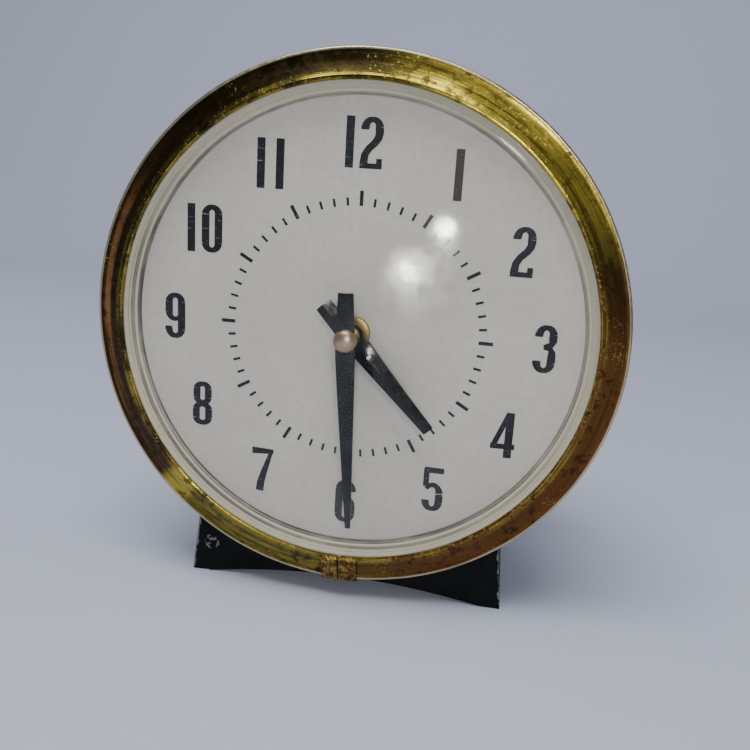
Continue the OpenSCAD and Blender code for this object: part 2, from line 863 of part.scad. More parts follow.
// Back cover and what comes through it
module back_cover() {
  color([0.1, 0.1, 0.11])
    in_clock()
      difference() {
        rod(cover_r, cover_back_z, cover_front_z);
        for (p = [time_at, alarm_at])
          at(p)
            rod(wind_arbor_r + arbor_window, cover_back_z - 1, cover_front_z + 1);
        rod(centre_arbor_r + arbor_window, cover_back_z - 1, cover_front_z + 1);
        at(alarm_set_at)
          rod(set_arbor_r + arbor_window, cover_back_z - 1, cover_front_z + 1);
        at(stop_at)
          rod(stop_r + run_fit, cover_back_z - 1, cover_front_z + 1);
        for (p = cover_screw_places)
          at(p)
            rod(cover_screw_r + screw_fit, cover_back_z - 1, cover_front_z + 1);
        at(balance_at, cover_back_z - 1)
          linear_extrude(cover_wall + 2)
            polygon(concat(
              arc(regulator_len + 1.4, regulator_dir - 24, regulator_dir + 24, 10),
              arc(regulator_len - 1.4, regulator_dir + 24, regulator_dir - 24, 10)
            ));
      }
}
module slotted_screw(r, head_r, head_z, tip_z) {
  head_h = 1;
  difference() {
    union() {
      rod(head_r, head_z - head_h, head_z);
      rod(r, head_z, tip_z);
    }
    translate([-head_r - 1, -0.25, head_z - head_h - 1])
      cube([2 * head_r + 2, 0.5, 1.5]);
  }
}
module back_screws() {
  color("silver")
    in_clock()
      for (p = cover_screw_places)
        at(p)
          slotted_screw(cover_screw_r, 1.9, cover_back_z - head_gap, cover_front_z + 2.5);
}

// Plates and pillars
module plate_holes(z) {
  for (p = [third_at, fourth_at, escape_at, pallet_at, alarm_escape_at])
    at(p)
      rod(pivot_r + run_fit, z - 1, z + plate_wall + 1);
  at(balance_at)
    rod(balance_screw_r + snug_fit, z - 1, z + plate_wall + 1);
  rod(centre_arbor_r + run_fit, z - 1, z + plate_wall + 1);
  at(alarm_set_at)
    rod(set_arbor_r + run_fit, z - 1, z + plate_wall + 1);
  for (p = pillar_places)
    at(p)
      rod(pillar_stud_r + snug_fit, z - 1, z + plate_wall + 1);
}
module front_plate() {
  color("khaki")
    in_clock()
      difference() {
        union() {
          rod(plate_r, train_front_z, plate_front_z);
          for (p = ear_places)
            bar([0, 0], p * (1 + 3.2 / norm(p)), 7, train_front_z, plate_wall);
          at(minute_wheel_at)
            rod(post_r, plate_front_z - 0.5, hour_wheel_z + hour_wheel_wall + 0.7);
          at(let_off_at)
            rod(post_r, plate_front_z - 0.5, let_off_z + 0.9);
        }
        plate_holes(train_front_z);
        for (p = [time_at, alarm_at])
          at(p)
            rod(wind_pivot_r + run_fit, train_front_z - 1, plate_front_z + 1);
        at(hammer_at)
          rod(pivot_r + run_fit, train_front_z - 1, plate_front_z + 1);
        for (p = ear_places)
          at(p)
            rod(movement_screw_r + screw_fit, train_front_z - 1, plate_front_z + 1);
        for (p = dial_foot_places)
          at(p)
            rod(dial_foot_r + screw_fit, train_front_z - 1, plate_front_z + 1);
      }
}
module back_plate() {
  color("khaki")
    in_clock()
      difference() {
        rod(plate_r, plate_back_z, train_back_z);
        plate_holes(plate_back_z);
        for (p = [time_at, alarm_at])
          at(p)
            rod(wind_arbor_r + run_fit, plate_back_z - 1, train_back_z + 1);
        at(hammer_at)
          rod(hammer_arbor_r + run_fit, plate_back_z - 1, train_back_z + 1);
        at(bell_at)
          rod(pillar_stud_r + snug_fit, plate_back_z - 1, train_back_z + 1);
      }
}
module pillars() {
  stud = plate_wall + 1.6;
  color("khaki")
    in_clock()
      for (p = pillar_places)
        at(p) {
          rod(pillar_r, train_back_z, train_front_z);
          rod(pillar_stud_r, train_back_z - stud, train_back_z);
          rod(pillar_stud_r, train_front_z, train_front_z + stud);
        }
}
module plate_nuts() {
  color("silver")
    in_clock()
      for (p = pillar_places, z = [plate_back_z - nut_h - head_gap, plate_front_z + head_gap])
        at(p, z)
          difference() {
            cylinder(r = 2.5, h = nut_h, $fn = 6);
            translate([0, 0, -1])
              cylinder(r = pillar_stud_r + snug_fit, h = 4);
          }
}
module movement_screws() {
  color("silver")
    in_clock()
      for (p = ear_places)
        at(p)
          mirror([0, 0, 1])
            slotted_screw(movement_screw_r, 2, -plate_front_z - head_gap, -train_front_z + lug_h - 0.5);
}

// Motion work behind the dial
module centre_arbor() {
  color("silver")
    in_clock()
      rod(centre_arbor_r, knob_front_z - knob_h + 1, minute_hand_z + hand_wall + 0.8);
}
module cannon_pinion() {
  back_z = minute_wheel_z - 0.3;
  color("gold")
    in_clock()
      difference() {
        union() {
          pinion(cannon_leaves, cannon_mod, 0, back_z, minute_wheel_z + minute_wheel_wall + 0.3);
          rod(cannon_r, back_z, minute_hand_z - head_gap);
        }
        rod(centre_arbor_r + snug_fit, plate_front_z - 1, minute_hand_z + 1);
      }
}
module clutch_spring() {
  z = centre_pinion_back_z - 0.45;
  color("silver")
    in_clock()
      ring(3, centre_arbor_r + snug_fit, z, z + 0.3);
}
module minute_wheel() {
  wall = minute_wheel_wall;
  pinion_z = minute_wheel_z + wall;
  color("gold")
    in_clock()
      at(minute_wheel_at)
        difference() {
          union() {
            wheel(minute_wheel_teeth, cannon_mod, minute_wheel_phase, minute_wheel_z, wall, 1.5, 3, 4);
            pinion(train_leaves, hour_mod, 0, pinion_z, hour_wheel_z + hour_wheel_wall + 0.2);
          }
          rod(post_r + run_fit, plate_front_z, 0);
        }
}
module hour_wheel() {
  color("gold")
    in_clock()
      difference() {
        union() {
          wheel(hour_teeth, hour_mod, hour_wheel_phase, hour_wheel_z, hour_wheel_wall, 1.5, 3.4, 4);
          rod(hour_pipe_r, hour_wheel_z, hour_hand_z + hand_wall);
        }
        rod(hour_pipe_bore, hour_wheel_z - 1, hour_hand_z + 2);
      }
}
module alarm_wheel() {
  color("gold")
    in_clock()
      difference() {
        union() {
          wheel(alarm_teeth, cannon_mod, 0, alarm_wheel_z, alarm_wheel_wall, 1.6, 4, 4);
          rod(alarm_pipe_r, alarm_wheel_z, alarm_hand_z + hand_wall);
          ring(4, alarm_pipe_r - 0.1, alarm_wheel_z + alarm_wheel_wall - 0.1, alarm_wheel_z + 1.8);
        }
        rod(alarm_pipe_bore, alarm_wheel_z - 1, alarm_hand_z + 2);
      }
}
module let_off_lever() {
  tip = polar(hour_pipe_r + 2.4, atan2(let_off_at[1], let_off_at[0]));
  color("silver")
    in_clock()
      difference() {
        union() {
          bar(let_off_at, tip, 2.4, let_off_z, 0.6);
          at(let_off_at)
            rod(2.2, let_off_z, let_off_z + 0.6);
        }
        at(let_off_at)
          rod(post_r + run_fit, let_off_z - 1, let_off_z + 2);
      }
}
module alarm_set_arbor() {
  pinion_front_z = alarm_wheel_z + alarm_wheel_wall + 0.4;
  color("silver")
    in_clock()
      at(alarm_set_at) {
        rod(set_arbor_r, knob_front_z - knob_h + 1, alarm_wheel_z);
        pinion(cannon_leaves, cannon_mod, set_pinion_phase, alarm_wheel_z - 0.4, pinion_front_z);
      }
}

// The two mainsprings and what they turn
module mainspring(place) {
  color("steelblue")
    in_clock()
      at(place)
        spiral_band(wind_arbor_r + 1.4, mainspring_r, 6, 0.5, spring_z, mainspring_w);
}
module time_mainspring() {
  mainspring(time_at);
}
module alarm_mainspring() {
  mainspring(alarm_at);
}
module ratchet_shape() {
  tooth = 360 / ratchet_teeth;
  polygon([
    for (i = [0:ratchet_teeth - 1])
      for (p = [[ratchet_tip_r - 1, 0.1], [ratchet_tip_r, 0.9], [ratchet_tip_r - 1, 0.95]])
        polar(p[0], tooth * (i + p[1]))
  ]);
}
// An arbor that a key turns: the ratchet wheel at ratchet_z is fixed to it
module wind_arbor(place, ratchet_z) {
  color("silver")
    in_clock()
      at(place) {
        rod(wind_arbor_r, knob_front_z - 3, train_front_z - 0.3);
        rod(wind_pivot_r, train_front_z - 0.4, plate_front_z - 0.2);
        translate([0, 0, ratchet_z])
          linear_extrude(ratchet_wall)
            ratchet_shape();
      }
}
module time_wind_arbor() {
  wind_arbor(time_at, time_ratchet_z);
}
module alarm_wind_arbor() {
  wind_arbor(alarm_at, alarm_ratchet_z);
}
// A great wheel with the post that its click turns on
module great_wheel(place, z, post_z0, post_z1) {
  color("gold")
    in_clock()
      at(place)
        difference() {
          union() {
            translate([0, 0, z])
              linear_extrude(great_wall)
                gear_shape(great_teeth, great_mod, 0);
            at(click_at)
              rod(post_r, post_z0, post_z1);
          }
          rod(wind_arbor_r + run_fit, z - 1, z + great_wall + 1);
        }
}
module time_great_wheel() {
  great_wheel(time_at, time_great_z, time_ratchet_z, time_great_z + 0.5);
}
module alarm_great_wheel() {
  great_wheel(alarm_at, alarm_great_z, alarm_great_z + 0.5, alarm_ratchet_z + ratchet_wall);
}
// A pawl beside the ratchet wheel
module click(place, z) {
  tip = polar(ratchet_tip_r + work_gap + 0.9, 92);
  color("silver")
    in_clock()
      at(place)
        difference() {
          union() {
            bar(click_at, tip, 1.5, z, ratchet_wall - 0.1);
            at(click_at)
              rod(1.9, z, z + ratchet_wall - 0.1);
          }
          at(click_at)
            rod(post_r + run_fit, z - 1, z + 3);
        }
}
module time_click() {
  click(time_at, time_ratchet_z + 0.05);
}
module alarm_click() {
  click(alarm_at, alarm_ratchet_z + 0.05);
}

// Going train
module centre_wheel() {
  wall = 0.8;
  color("gold")
    in_clock()
      difference() {
        union() {
          wheel(centre_teeth, centre_mod, 0, centre_wheel_z, wall, 1.6, 4, 4);
          pinion(train_leaves, great_mod, centre_pinion_phase, centre_pinion_back_z, centre_wheel_z + 0.1);
        }
        rod(centre_arbor_r + run_fit, centre_pinion_back_z - 1, train_front_z);
      }
}
module third_wheel() {
  color("gold")
    in_clock()
      at(third_at) {
        train_arbor(0.7);
        wheel(third_teeth, third_mod, 0, third_wheel_z, 0.8, 1.4, 2.4, 4);
        pinion(train_leaves, centre_mod, third_pinion_phase, centre_wheel_z - 0.6, train_front_z - 0.35);
      }
}
module fourth_wheel() {
  color("gold")
    in_clock()
      at(fourth_at) {
        train_arbor(0.7);
        wheel(fourth_teeth, fourth_mod, 0, fourth_wheel_z, 0.7, 1.2, 2.2, 4);
        pinion(train_leaves, third_mod, fourth_pinion_phase, third_wheel_z - 0.7, third_wheel_z + 1.6);
      }
}
module escape_wheel() {
  color("gold")
    in_clock()
      at(escape_at) {
        train_arbor(0.5);
        pinion(escape_leaves, fourth_mod, escape_pinion_phase, fourth_wheel_z - 0.7, fourth_wheel_z + 1.5);
        escape_disc(escape_teeth, escape_tip_r, escape_wheel_z, escape_wall);
      }
}
module escape_disc(teeth, tip_r, z, wall) {
  tooth = 360 / teeth;
  root_r = tip_r - 1.5;
  translate([0, 0, z])
    linear_extrude(wall)
      polygon([
        for (i = [0:teeth - 1])
          for (p = [[root_r, 0], [root_r, 0.45], [tip_r, 0.62], [tip_r, 0.78]])
            polar(p[0], tooth * (i + p[1]))
      ]);
}
// A lever with two pins beside the escape wheel and a fork towards the balance
module pallet_lever() {
  to_wheel = atan2(escape_at[1] - pallet_at[1], escape_at[0] - pallet_at[0]);
  to_balance = atan2(balance_at[1] - pallet_at[1], balance_at[0] - pallet_at[0]);
  pin_circle = escape_tip_r + pallet_pin_r + work_gap + 0.3;
  span = norm(escape_at - pallet_at);
  pin_dist = norm(escape_at + polar(pin_circle, to_wheel + 180 - 36) - pallet_at);
  fork_r = norm(balance_at - pallet_at) - roller_r - 1.5;
  color("silver")
    in_clock() {
      at(pallet_at)
        train_arbor(0.6);
      for (side = [-36, 36]) {
        pin_at = escape_at + polar(pin_circle, to_wheel + 180 + side);
        bar(pallet_at, pin_at, 1.2, lever_z, 0.8);
        at(pin_at)
          rod(pallet_pin_r, escape_wheel_z, lever_z + 0.8);
        at(pin_at)
          rod(0.7, lever_z, lever_z + 0.8);
      }
      at(pallet_at)
        rod(1.5, lever_z, lever_z + 0.8);
      bar(pallet_at, pallet_at + polar(fork_r, to_balance), 1, lever_z, 0.8);
    }
}
module balance_wheel() {
  rim_r = 7.5;
  color("goldenrod")
    in_clock()
      at(balance_at) {
        ring(rim_r, rim_r - 1.2, balance_z, balance_z + balance_wall);
        translate([-rim_r + 0.6, -0.6, balance_z])
          cube([2 * rim_r - 1.2, 1.2, 0.8]);
        rod(1.6, balance_z, balance_z + balance_wall);
        rod(0.6, train_back_z + 0.7, train_front_z - 0.7);
        for (s = [[train_back_z, 1], [train_front_z, -1]])
          translate([0, 0, s[0] + s[1] * 0.1])
            rod(0.25, s[1] > 0 ? 0 : -0.7, s[1] > 0 ? 0.7 : 0);
        rod(roller_r, lever_z + 1.2, lever_z + 2);
        translate([roller_r - 0.5, 0, 0])
          rod(0.3, lever_z + 0.2, lever_z + 1.3);
      }
}
module hairspring() {
  color("steelblue")
    in_clock()
      at(balance_at)
        spiral_band(1.2, 4.8, 6, 0.16, hairspring_z, hairspring_w);
}
// Cup-ended screws that hold the balance staff, one in each plate
module balance_screws() {
  cup_r = 0.25 + run_fit;
  color("silver")
    in_clock()
      at(balance_at) {
        difference() {
          rod(balance_screw_r, plate_back_z - 2.6, train_back_z + 0.4);
          rod(cup_r, train_back_z, train_back_z + 1);
          translate([-2, -0.25, plate_back_z - 3.2])
            cube([4, 0.5, 1.2]);
        }
        difference() {
          rod(balance_screw_r, train_front_z - 0.4, plate_front_z + 1);
          rod(cup_r, train_front_z - 1, train_front_z);
          translate([-2, -0.25, plate_front_z + 0.4])
            cube([4, 0.5, 1.2]);
        }
      }
}
module regulator_lever() {
  z = plate_back_z - 1.1;
  tip = polar(regulator_len, regulator_dir);
  color("silver")
    in_clock()
      at(balance_at)
        difference() {
          union() {
            rod(3.2, z, z + 0.8);
            bar([0, 0], tip, 1.8, z, 0.8);
            at(tip)
              rod(1.1, z, z + 0.8);
            at(tip)
              rod(0.8, cover_back_z - 3, z + 0.8);
          }
          rod(balance_screw_r + run_fit, z - 1, z + 2);
        }
}

// Alarm train and bell
module alarm_escape_wheel() {
  pinion_front_z = alarm_great_z + great_wall + 0.5;
  color("gold")
    in_clock()
      at(alarm_escape_at) {
        train_arbor(0.8);
        pinion(train_leaves, great_mod, alarm_pinion_phase, alarm_great_z - 0.5, pinion_front_z);
        escape_disc(12, 5, alarm_escape_z, 1);
      }
}
module alarm_hammer() {
  pallet_z = alarm_escape_z + 1.5;
  head_z = bell_back_z + 2.6;
  to_wheel = atan2(alarm_escape_at[1] - hammer_at[1], alarm_escape_at[0] - hammer_at[0]);
  color("silver")
    in_clock() {
      at(hammer_at) {
        rod(pivot_r, train_front_z - 0.3, train_front_z + plate_wall - 0.2);
        rod(hammer_arbor_r, head_z - 0.4, train_front_z - 0.3);
        rod(1.8, head_z - 0.4, head_z + 1.4);
        translate([0, 0, pallet_z])
          rotate(to_wheel)
            translate([-0.6, -2.4, 0])
              cube([1.2, 4.8, 0.8]);
      }
      bar(hammer_at, hammer_head_at, 1.4, head_z, 1);
      at(hammer_head_at)
        rod(hammer_head_r, head_z - 1, head_z + 3);
    }
}
module bell() {
  crown = bell_r * 0.4;
  color("silver")
    in_clock()
      at(bell_at)
        disc_of([
          [pillar_stud_r + snug_fit, bell_back_z],
          [crown, bell_back_z],
          [bell_r - 1.2, bell_back_z + bell_h * 0.35],
          [bell_r, bell_back_z + bell_h],
          [bell_r - bell_wall, bell_back_z + bell_h],
          [bell_r - 1.2 - bell_wall, bell_back_z + bell_h * 0.35 + 0.4],
          [crown - 0.3, bell_back_z + bell_wall],
          [pillar_stud_r + snug_fit, bell_back_z + bell_wall]
        ]);
}
module bell_post() {
  top_z = bell_back_z + bell_wall + head_gap;
  color("silver")
    in_clock()
      at(bell_at)
        difference() {
          union() {
            rod(pillar_r, top_z, plate_back_z);
            rod(pillar_stud_r, plate_back_z, train_back_z - 0.1);
          }
          rod(bell_screw_r + snug_fit, top_z - 1, top_z + 3);
        }
}
module bell_screw() {
  color("silver")
    in_clock()
      at(bell_at)
        slotted_screw(bell_screw_r, 2.2, bell_back_z - head_gap, bell_back_z + bell_wall + 2.6);
}
module stop_button() {
  collar = 0.8;
  color("silver")
    in_clock()
      at(stop_at) {
        rod(stop_r, cover_back_z - stop_travel - 4, plate_back_z - stop_travel - 1.2);
        rod(stop_r + 1, cover_front_z + 0.1, cover_front_z + 0.1 + collar);
        rod(stop_r + 1.2, cover_back_z - stop_travel - 5.5, cover_back_z - stop_travel - 3.5);
      }
}

// Keys and knobs
module wing_key(place) {
  color("goldenrod")
    in_clock()
      at(place)
        difference() {
          union() {
            rod(wind_arbor_r + 1.6, knob_front_z - 6, knob_front_z);
            translate([-key_span / 2, -key_wall / 2, key_back_z])
              cube([key_span, key_wall, key_h]);
          }
          rod(wind_arbor_r + snug_fit, knob_front_z - 3 - snug_fit, knob_front_z + 1);
        }
}
module time_key() {
  wing_key(time_at);
}
module alarm_key() {
  wing_key(alarm_at);
}
// A round knob with grooves round its edge
module grooved_knob(place, r, bore) {
  grooves = 20;
  color("goldenrod")
    in_clock()
      at(place)
        difference() {
          rod(r, knob_front_z - knob_h, knob_front_z);
          for (i = [0:grooves - 1])
            rotate(360 * i / grooves)
              at([r + 0.15, 0])
                rod(0.5, knob_front_z - knob_h - 1, knob_front_z + 1);
          rod(bore + snug_fit, knob_front_z - knob_h + 1 - snug_fit, knob_front_z + 1);
        }
}
module time_set_knob() {
  grooved_knob([0, 0], time_knob_r, centre_arbor_r);
}
module alarm_set_knob() {
  grooved_knob(alarm_set_at, alarm_knob_r, set_arbor_r);
}

bezel_ring();
bezel_clip();
crystal();
dial_flange();
dial_plate();
dial_track();
dial_numerals();
dial_grommet();
minute_hand();
hour_hand();
alarm_hand();
hand_nut();
case_shell();
base_stand();
base_screws();
base_nuts();
back_cover();
back_screws();
front_plate();
back_plate();
pillars();
plate_nuts();
movement_screws();
centre_arbor();
cannon_pinion();
clutch_spring();
minute_wheel();
hour_wheel();
alarm_wheel();
let_off_lever();
alarm_set_arbor();
time_mainspring();
time_wind_arbor();
time_great_wheel();
time_click();
centre_wheel();
third_wheel();
fourth_wheel();
escape_wheel();
pallet_lever();
balance_wheel();
hairspring();
balance_screws();
regulator_lever();
alarm_mainspring();
alarm_wind_arbor();
alarm_great_wheel();
alarm_click();
alarm_escape_wheel();
alarm_hammer();
bell();
bell_post();
bell_screw();
stop_button();
time_key();
alarm_key();
time_set_knob();
alarm_set_knob();
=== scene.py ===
import json
import math

import bmesh
import bpy
from mathutils import Matrix, Quaternion, Vector, noise

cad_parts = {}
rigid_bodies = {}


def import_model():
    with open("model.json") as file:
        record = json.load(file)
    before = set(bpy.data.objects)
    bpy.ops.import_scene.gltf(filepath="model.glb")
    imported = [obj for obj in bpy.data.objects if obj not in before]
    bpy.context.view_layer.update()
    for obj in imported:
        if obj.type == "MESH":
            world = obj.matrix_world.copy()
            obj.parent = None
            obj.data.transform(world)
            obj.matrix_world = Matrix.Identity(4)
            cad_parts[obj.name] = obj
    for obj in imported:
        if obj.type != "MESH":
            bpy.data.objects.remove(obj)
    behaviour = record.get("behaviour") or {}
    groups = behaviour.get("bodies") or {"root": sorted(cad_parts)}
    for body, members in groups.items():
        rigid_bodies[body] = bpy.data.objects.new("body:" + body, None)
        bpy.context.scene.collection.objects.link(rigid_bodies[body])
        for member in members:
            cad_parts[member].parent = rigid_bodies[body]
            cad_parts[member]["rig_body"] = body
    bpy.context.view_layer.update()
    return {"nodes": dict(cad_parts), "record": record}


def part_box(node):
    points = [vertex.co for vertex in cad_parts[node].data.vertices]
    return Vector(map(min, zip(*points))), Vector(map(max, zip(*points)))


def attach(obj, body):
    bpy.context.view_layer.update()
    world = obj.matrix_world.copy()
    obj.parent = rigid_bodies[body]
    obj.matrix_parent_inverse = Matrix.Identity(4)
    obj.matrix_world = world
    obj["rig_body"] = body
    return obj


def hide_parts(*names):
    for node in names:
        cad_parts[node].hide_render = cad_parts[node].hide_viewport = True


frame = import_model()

# The clock's own frame: millimetres, with the dial's centre at the origin and z out of the dial
MM = 0.001
crystal_low, crystal_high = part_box("crystal")
dial_face_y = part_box("dial_track")[1].y
DIAL_CENTRE = Vector(
    ((crystal_low.x + crystal_high.x) / 2, dial_face_y, (crystal_low.z + crystal_high.z) / 2)
)
TO_FRAME = Matrix.Translation(DIAL_CENTRE) @ Matrix.Rotation(math.pi / 2, 4, "X") @ Matrix.Scale(MM, 4)


def clock_box(node):
    """The lowest and highest corners of a CAD node in the clock's own frame."""
    low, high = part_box(node)
    low = (low - DIAL_CENTRE) / MM
    high = (high - DIAL_CENTRE) / MM
    return Vector((low.x, low.z, -high.y)), Vector((high.x, high.z, -low.y))


def to_frame(point):
    """A point of the clock's own frame, in metres in the shared frame."""
    return TO_FRAME @ Vector(point)


# Sizes read from the CAD model
bezel_low, bezel_high = clock_box("bezel_ring")
BEZEL_R = bezel_high.x
BEZEL_TOP = bezel_high.z
BEZEL_BACK = bezel_low.z
glass_high = clock_box("crystal")[1]
GLASS_R = glass_high.x
GLASS_TOP = glass_high.z
flange_high = clock_box("dial_flange")[1]
cover_low, cover_high = clock_box("back_cover")
COVER_R = cover_high.x
COVER_BACK = cover_low.z
base_low, base_high = clock_box("base_stand")

# Sizes of the visible pieces, in millimetres
BEZEL_WALL = 0.5
FACE_EDGE_Z = 2.25  # height of the outer edge of the bezel's face
SEAM_X = -0.25  # the clip's seam, just left of its middle
GLASS_WALL = 0.8
GLASS_RIM = BEZEL_TOP - BEZEL_WALL - 0.05
LIP_R = GLASS_R - 0.9
DOME_R = LIP_R - 1.9
FLANGE_INNER_R = 52.5
HAND_WALL = 0.3
HUB_STEP = 0.5  # from the top of the minute hand down to the level that its hub stands on
BASE_LEAN = 0.108  # how far each side of the base leans in for its height


# Nodes for the finishes
def new_finish(name):
    finish = bpy.data.materials.new(name)
    finish.use_nodes = True
    return finish, finish.node_tree, finish.node_tree.nodes["Principled BSDF"]


def add(tree, kind, sockets=None, **settings):
    """A shader node with its settings and its inputs, each either a value or a link."""
    made = tree.nodes.new("ShaderNode" + kind)
    for name, value in settings.items():
        setattr(made, name, value)
    for key, value in (sockets or {}).items():
        if isinstance(value, bpy.types.NodeSocket):
            tree.links.new(value, made.inputs[key])
        else:
            made.inputs[key].default_value = value
    return made


def maths(tree, operation, a, b=0.0):
    return add(tree, "Math", {0: a, 1: b}, operation=operation).outputs[0]


def product(tree, *shares):
    made = shares[0]
    for share in shares[1:]:
        made = maths(tree, "MULTIPLY", made, share)
    return made


def place_of(tree):
    return add(tree, "TexCoord").outputs["Object"]


def grain(tree, scale, detail, rough, where=None):
    """Noise from 0 to 1 at so many features a metre."""
    where = where or place_of(tree)
    return add(
        tree, "TexNoise", {"Vector": where, "Scale": scale, "Detail": detail, "Roughness": rough}
    ).outputs["Fac"]


def between(tree, value, start, end, low=0.0, high=1.0):
    """Remaps a value smoothly, held at both ends."""
    made = add(
        tree,
        "MapRange",
        {"Value": value, "From Min": start, "From Max": end, "To Min": low, "To Max": high},
        interpolation_type="SMOOTHSTEP",
    )
    return made.outputs["Result"]


def blend_colour(tree, share, a, b):
    """One colour turned into another by a share from 0 to 1."""
    made = add(tree, "Mix", data_type="RGBA", blend_type="MIX")
    for key, value in ((0, share), (6, a), (7, b)):
        if isinstance(value, bpy.types.NodeSocket):
            tree.links.new(value, made.inputs[key])
        elif key == 0:
            made.inputs[0].default_value = value
        else:
            made.inputs[key].default_value = (*value, 1)
    return made.outputs[2]


def relief(tree, height, depth, strength, under=None):
    """A bump as deep as a number of millimetres, on top of another where one is given."""
    sockets = {"Height": height, "Distance": depth * MM, "Strength": strength}
    if under:
        sockets["Normal"] = under
    return add(tree, "Bump", sockets).outputs["Normal"]


def spot_mask(tree, centre, radius, soft=0.6):
    """1 at a point of the clock and 0 beyond a radius, both in millimetres."""
    away = add(
        tree, "VectorMath", {0: place_of(tree), 1: to_frame(centre)}, operation="DISTANCE"
    ).outputs["Value"]
    return between(tree, away, radius * MM, radius * MM * (1 - soft))


def round_the_dial(tree):
    """Direction across the dial and distance from its axis, for patterns that go round it."""
    centred = add(tree, "VectorMath", {0: place_of(tree), 1: DIAL_CENTRE}, operation="SUBTRACT").outputs[0]
    flat = add(tree, "VectorMath", {0: centred, 1: (1, 0, 1)}, operation="MULTIPLY").outputs[0]
    radius = add(tree, "VectorMath", {0: flat}, operation="LENGTH").outputs["Value"]
    heading = add(tree, "VectorMath", {0: flat}, operation="NORMALIZE").outputs[0]
    return heading, radius


def around(tree, heading, radius, turns, rings):
    """A place for noise that is stretched along circles round the dial."""
    along = add(tree, "VectorMath", {0: heading, "Scale": turns}, operation="SCALE").outputs[0]
    out = add(tree, "CombineXYZ", {"Y": product(tree, radius, rings)}).outputs[0]
    return add(tree, "VectorMath", {0: along, 1: out}, operation="ADD").outputs[0]


def towards(tree, heading, degrees, start, end):
    """1 near a direction on the dial, in degrees from three o'clock, and 0 away from it."""
    aim = (math.cos(math.radians(degrees)), 0, math.sin(math.radians(degrees)))
    dot = add(tree, "VectorMath", {0: heading, 1: aim}, operation="DOT_PRODUCT").outputs["Value"]
    return between(tree, dot, math.cos(math.radians(start)), math.cos(math.radians(end)))


def band(tree, radius, middle, half, soft):
    """1 on a ring round the dial and 0 beyond its half width, both in millimetres."""
    away = maths(tree, "ABSOLUTE", maths(tree, "SUBTRACT", radius, middle * MM))
    return between(tree, away, half * MM, half * MM * (1 - soft))


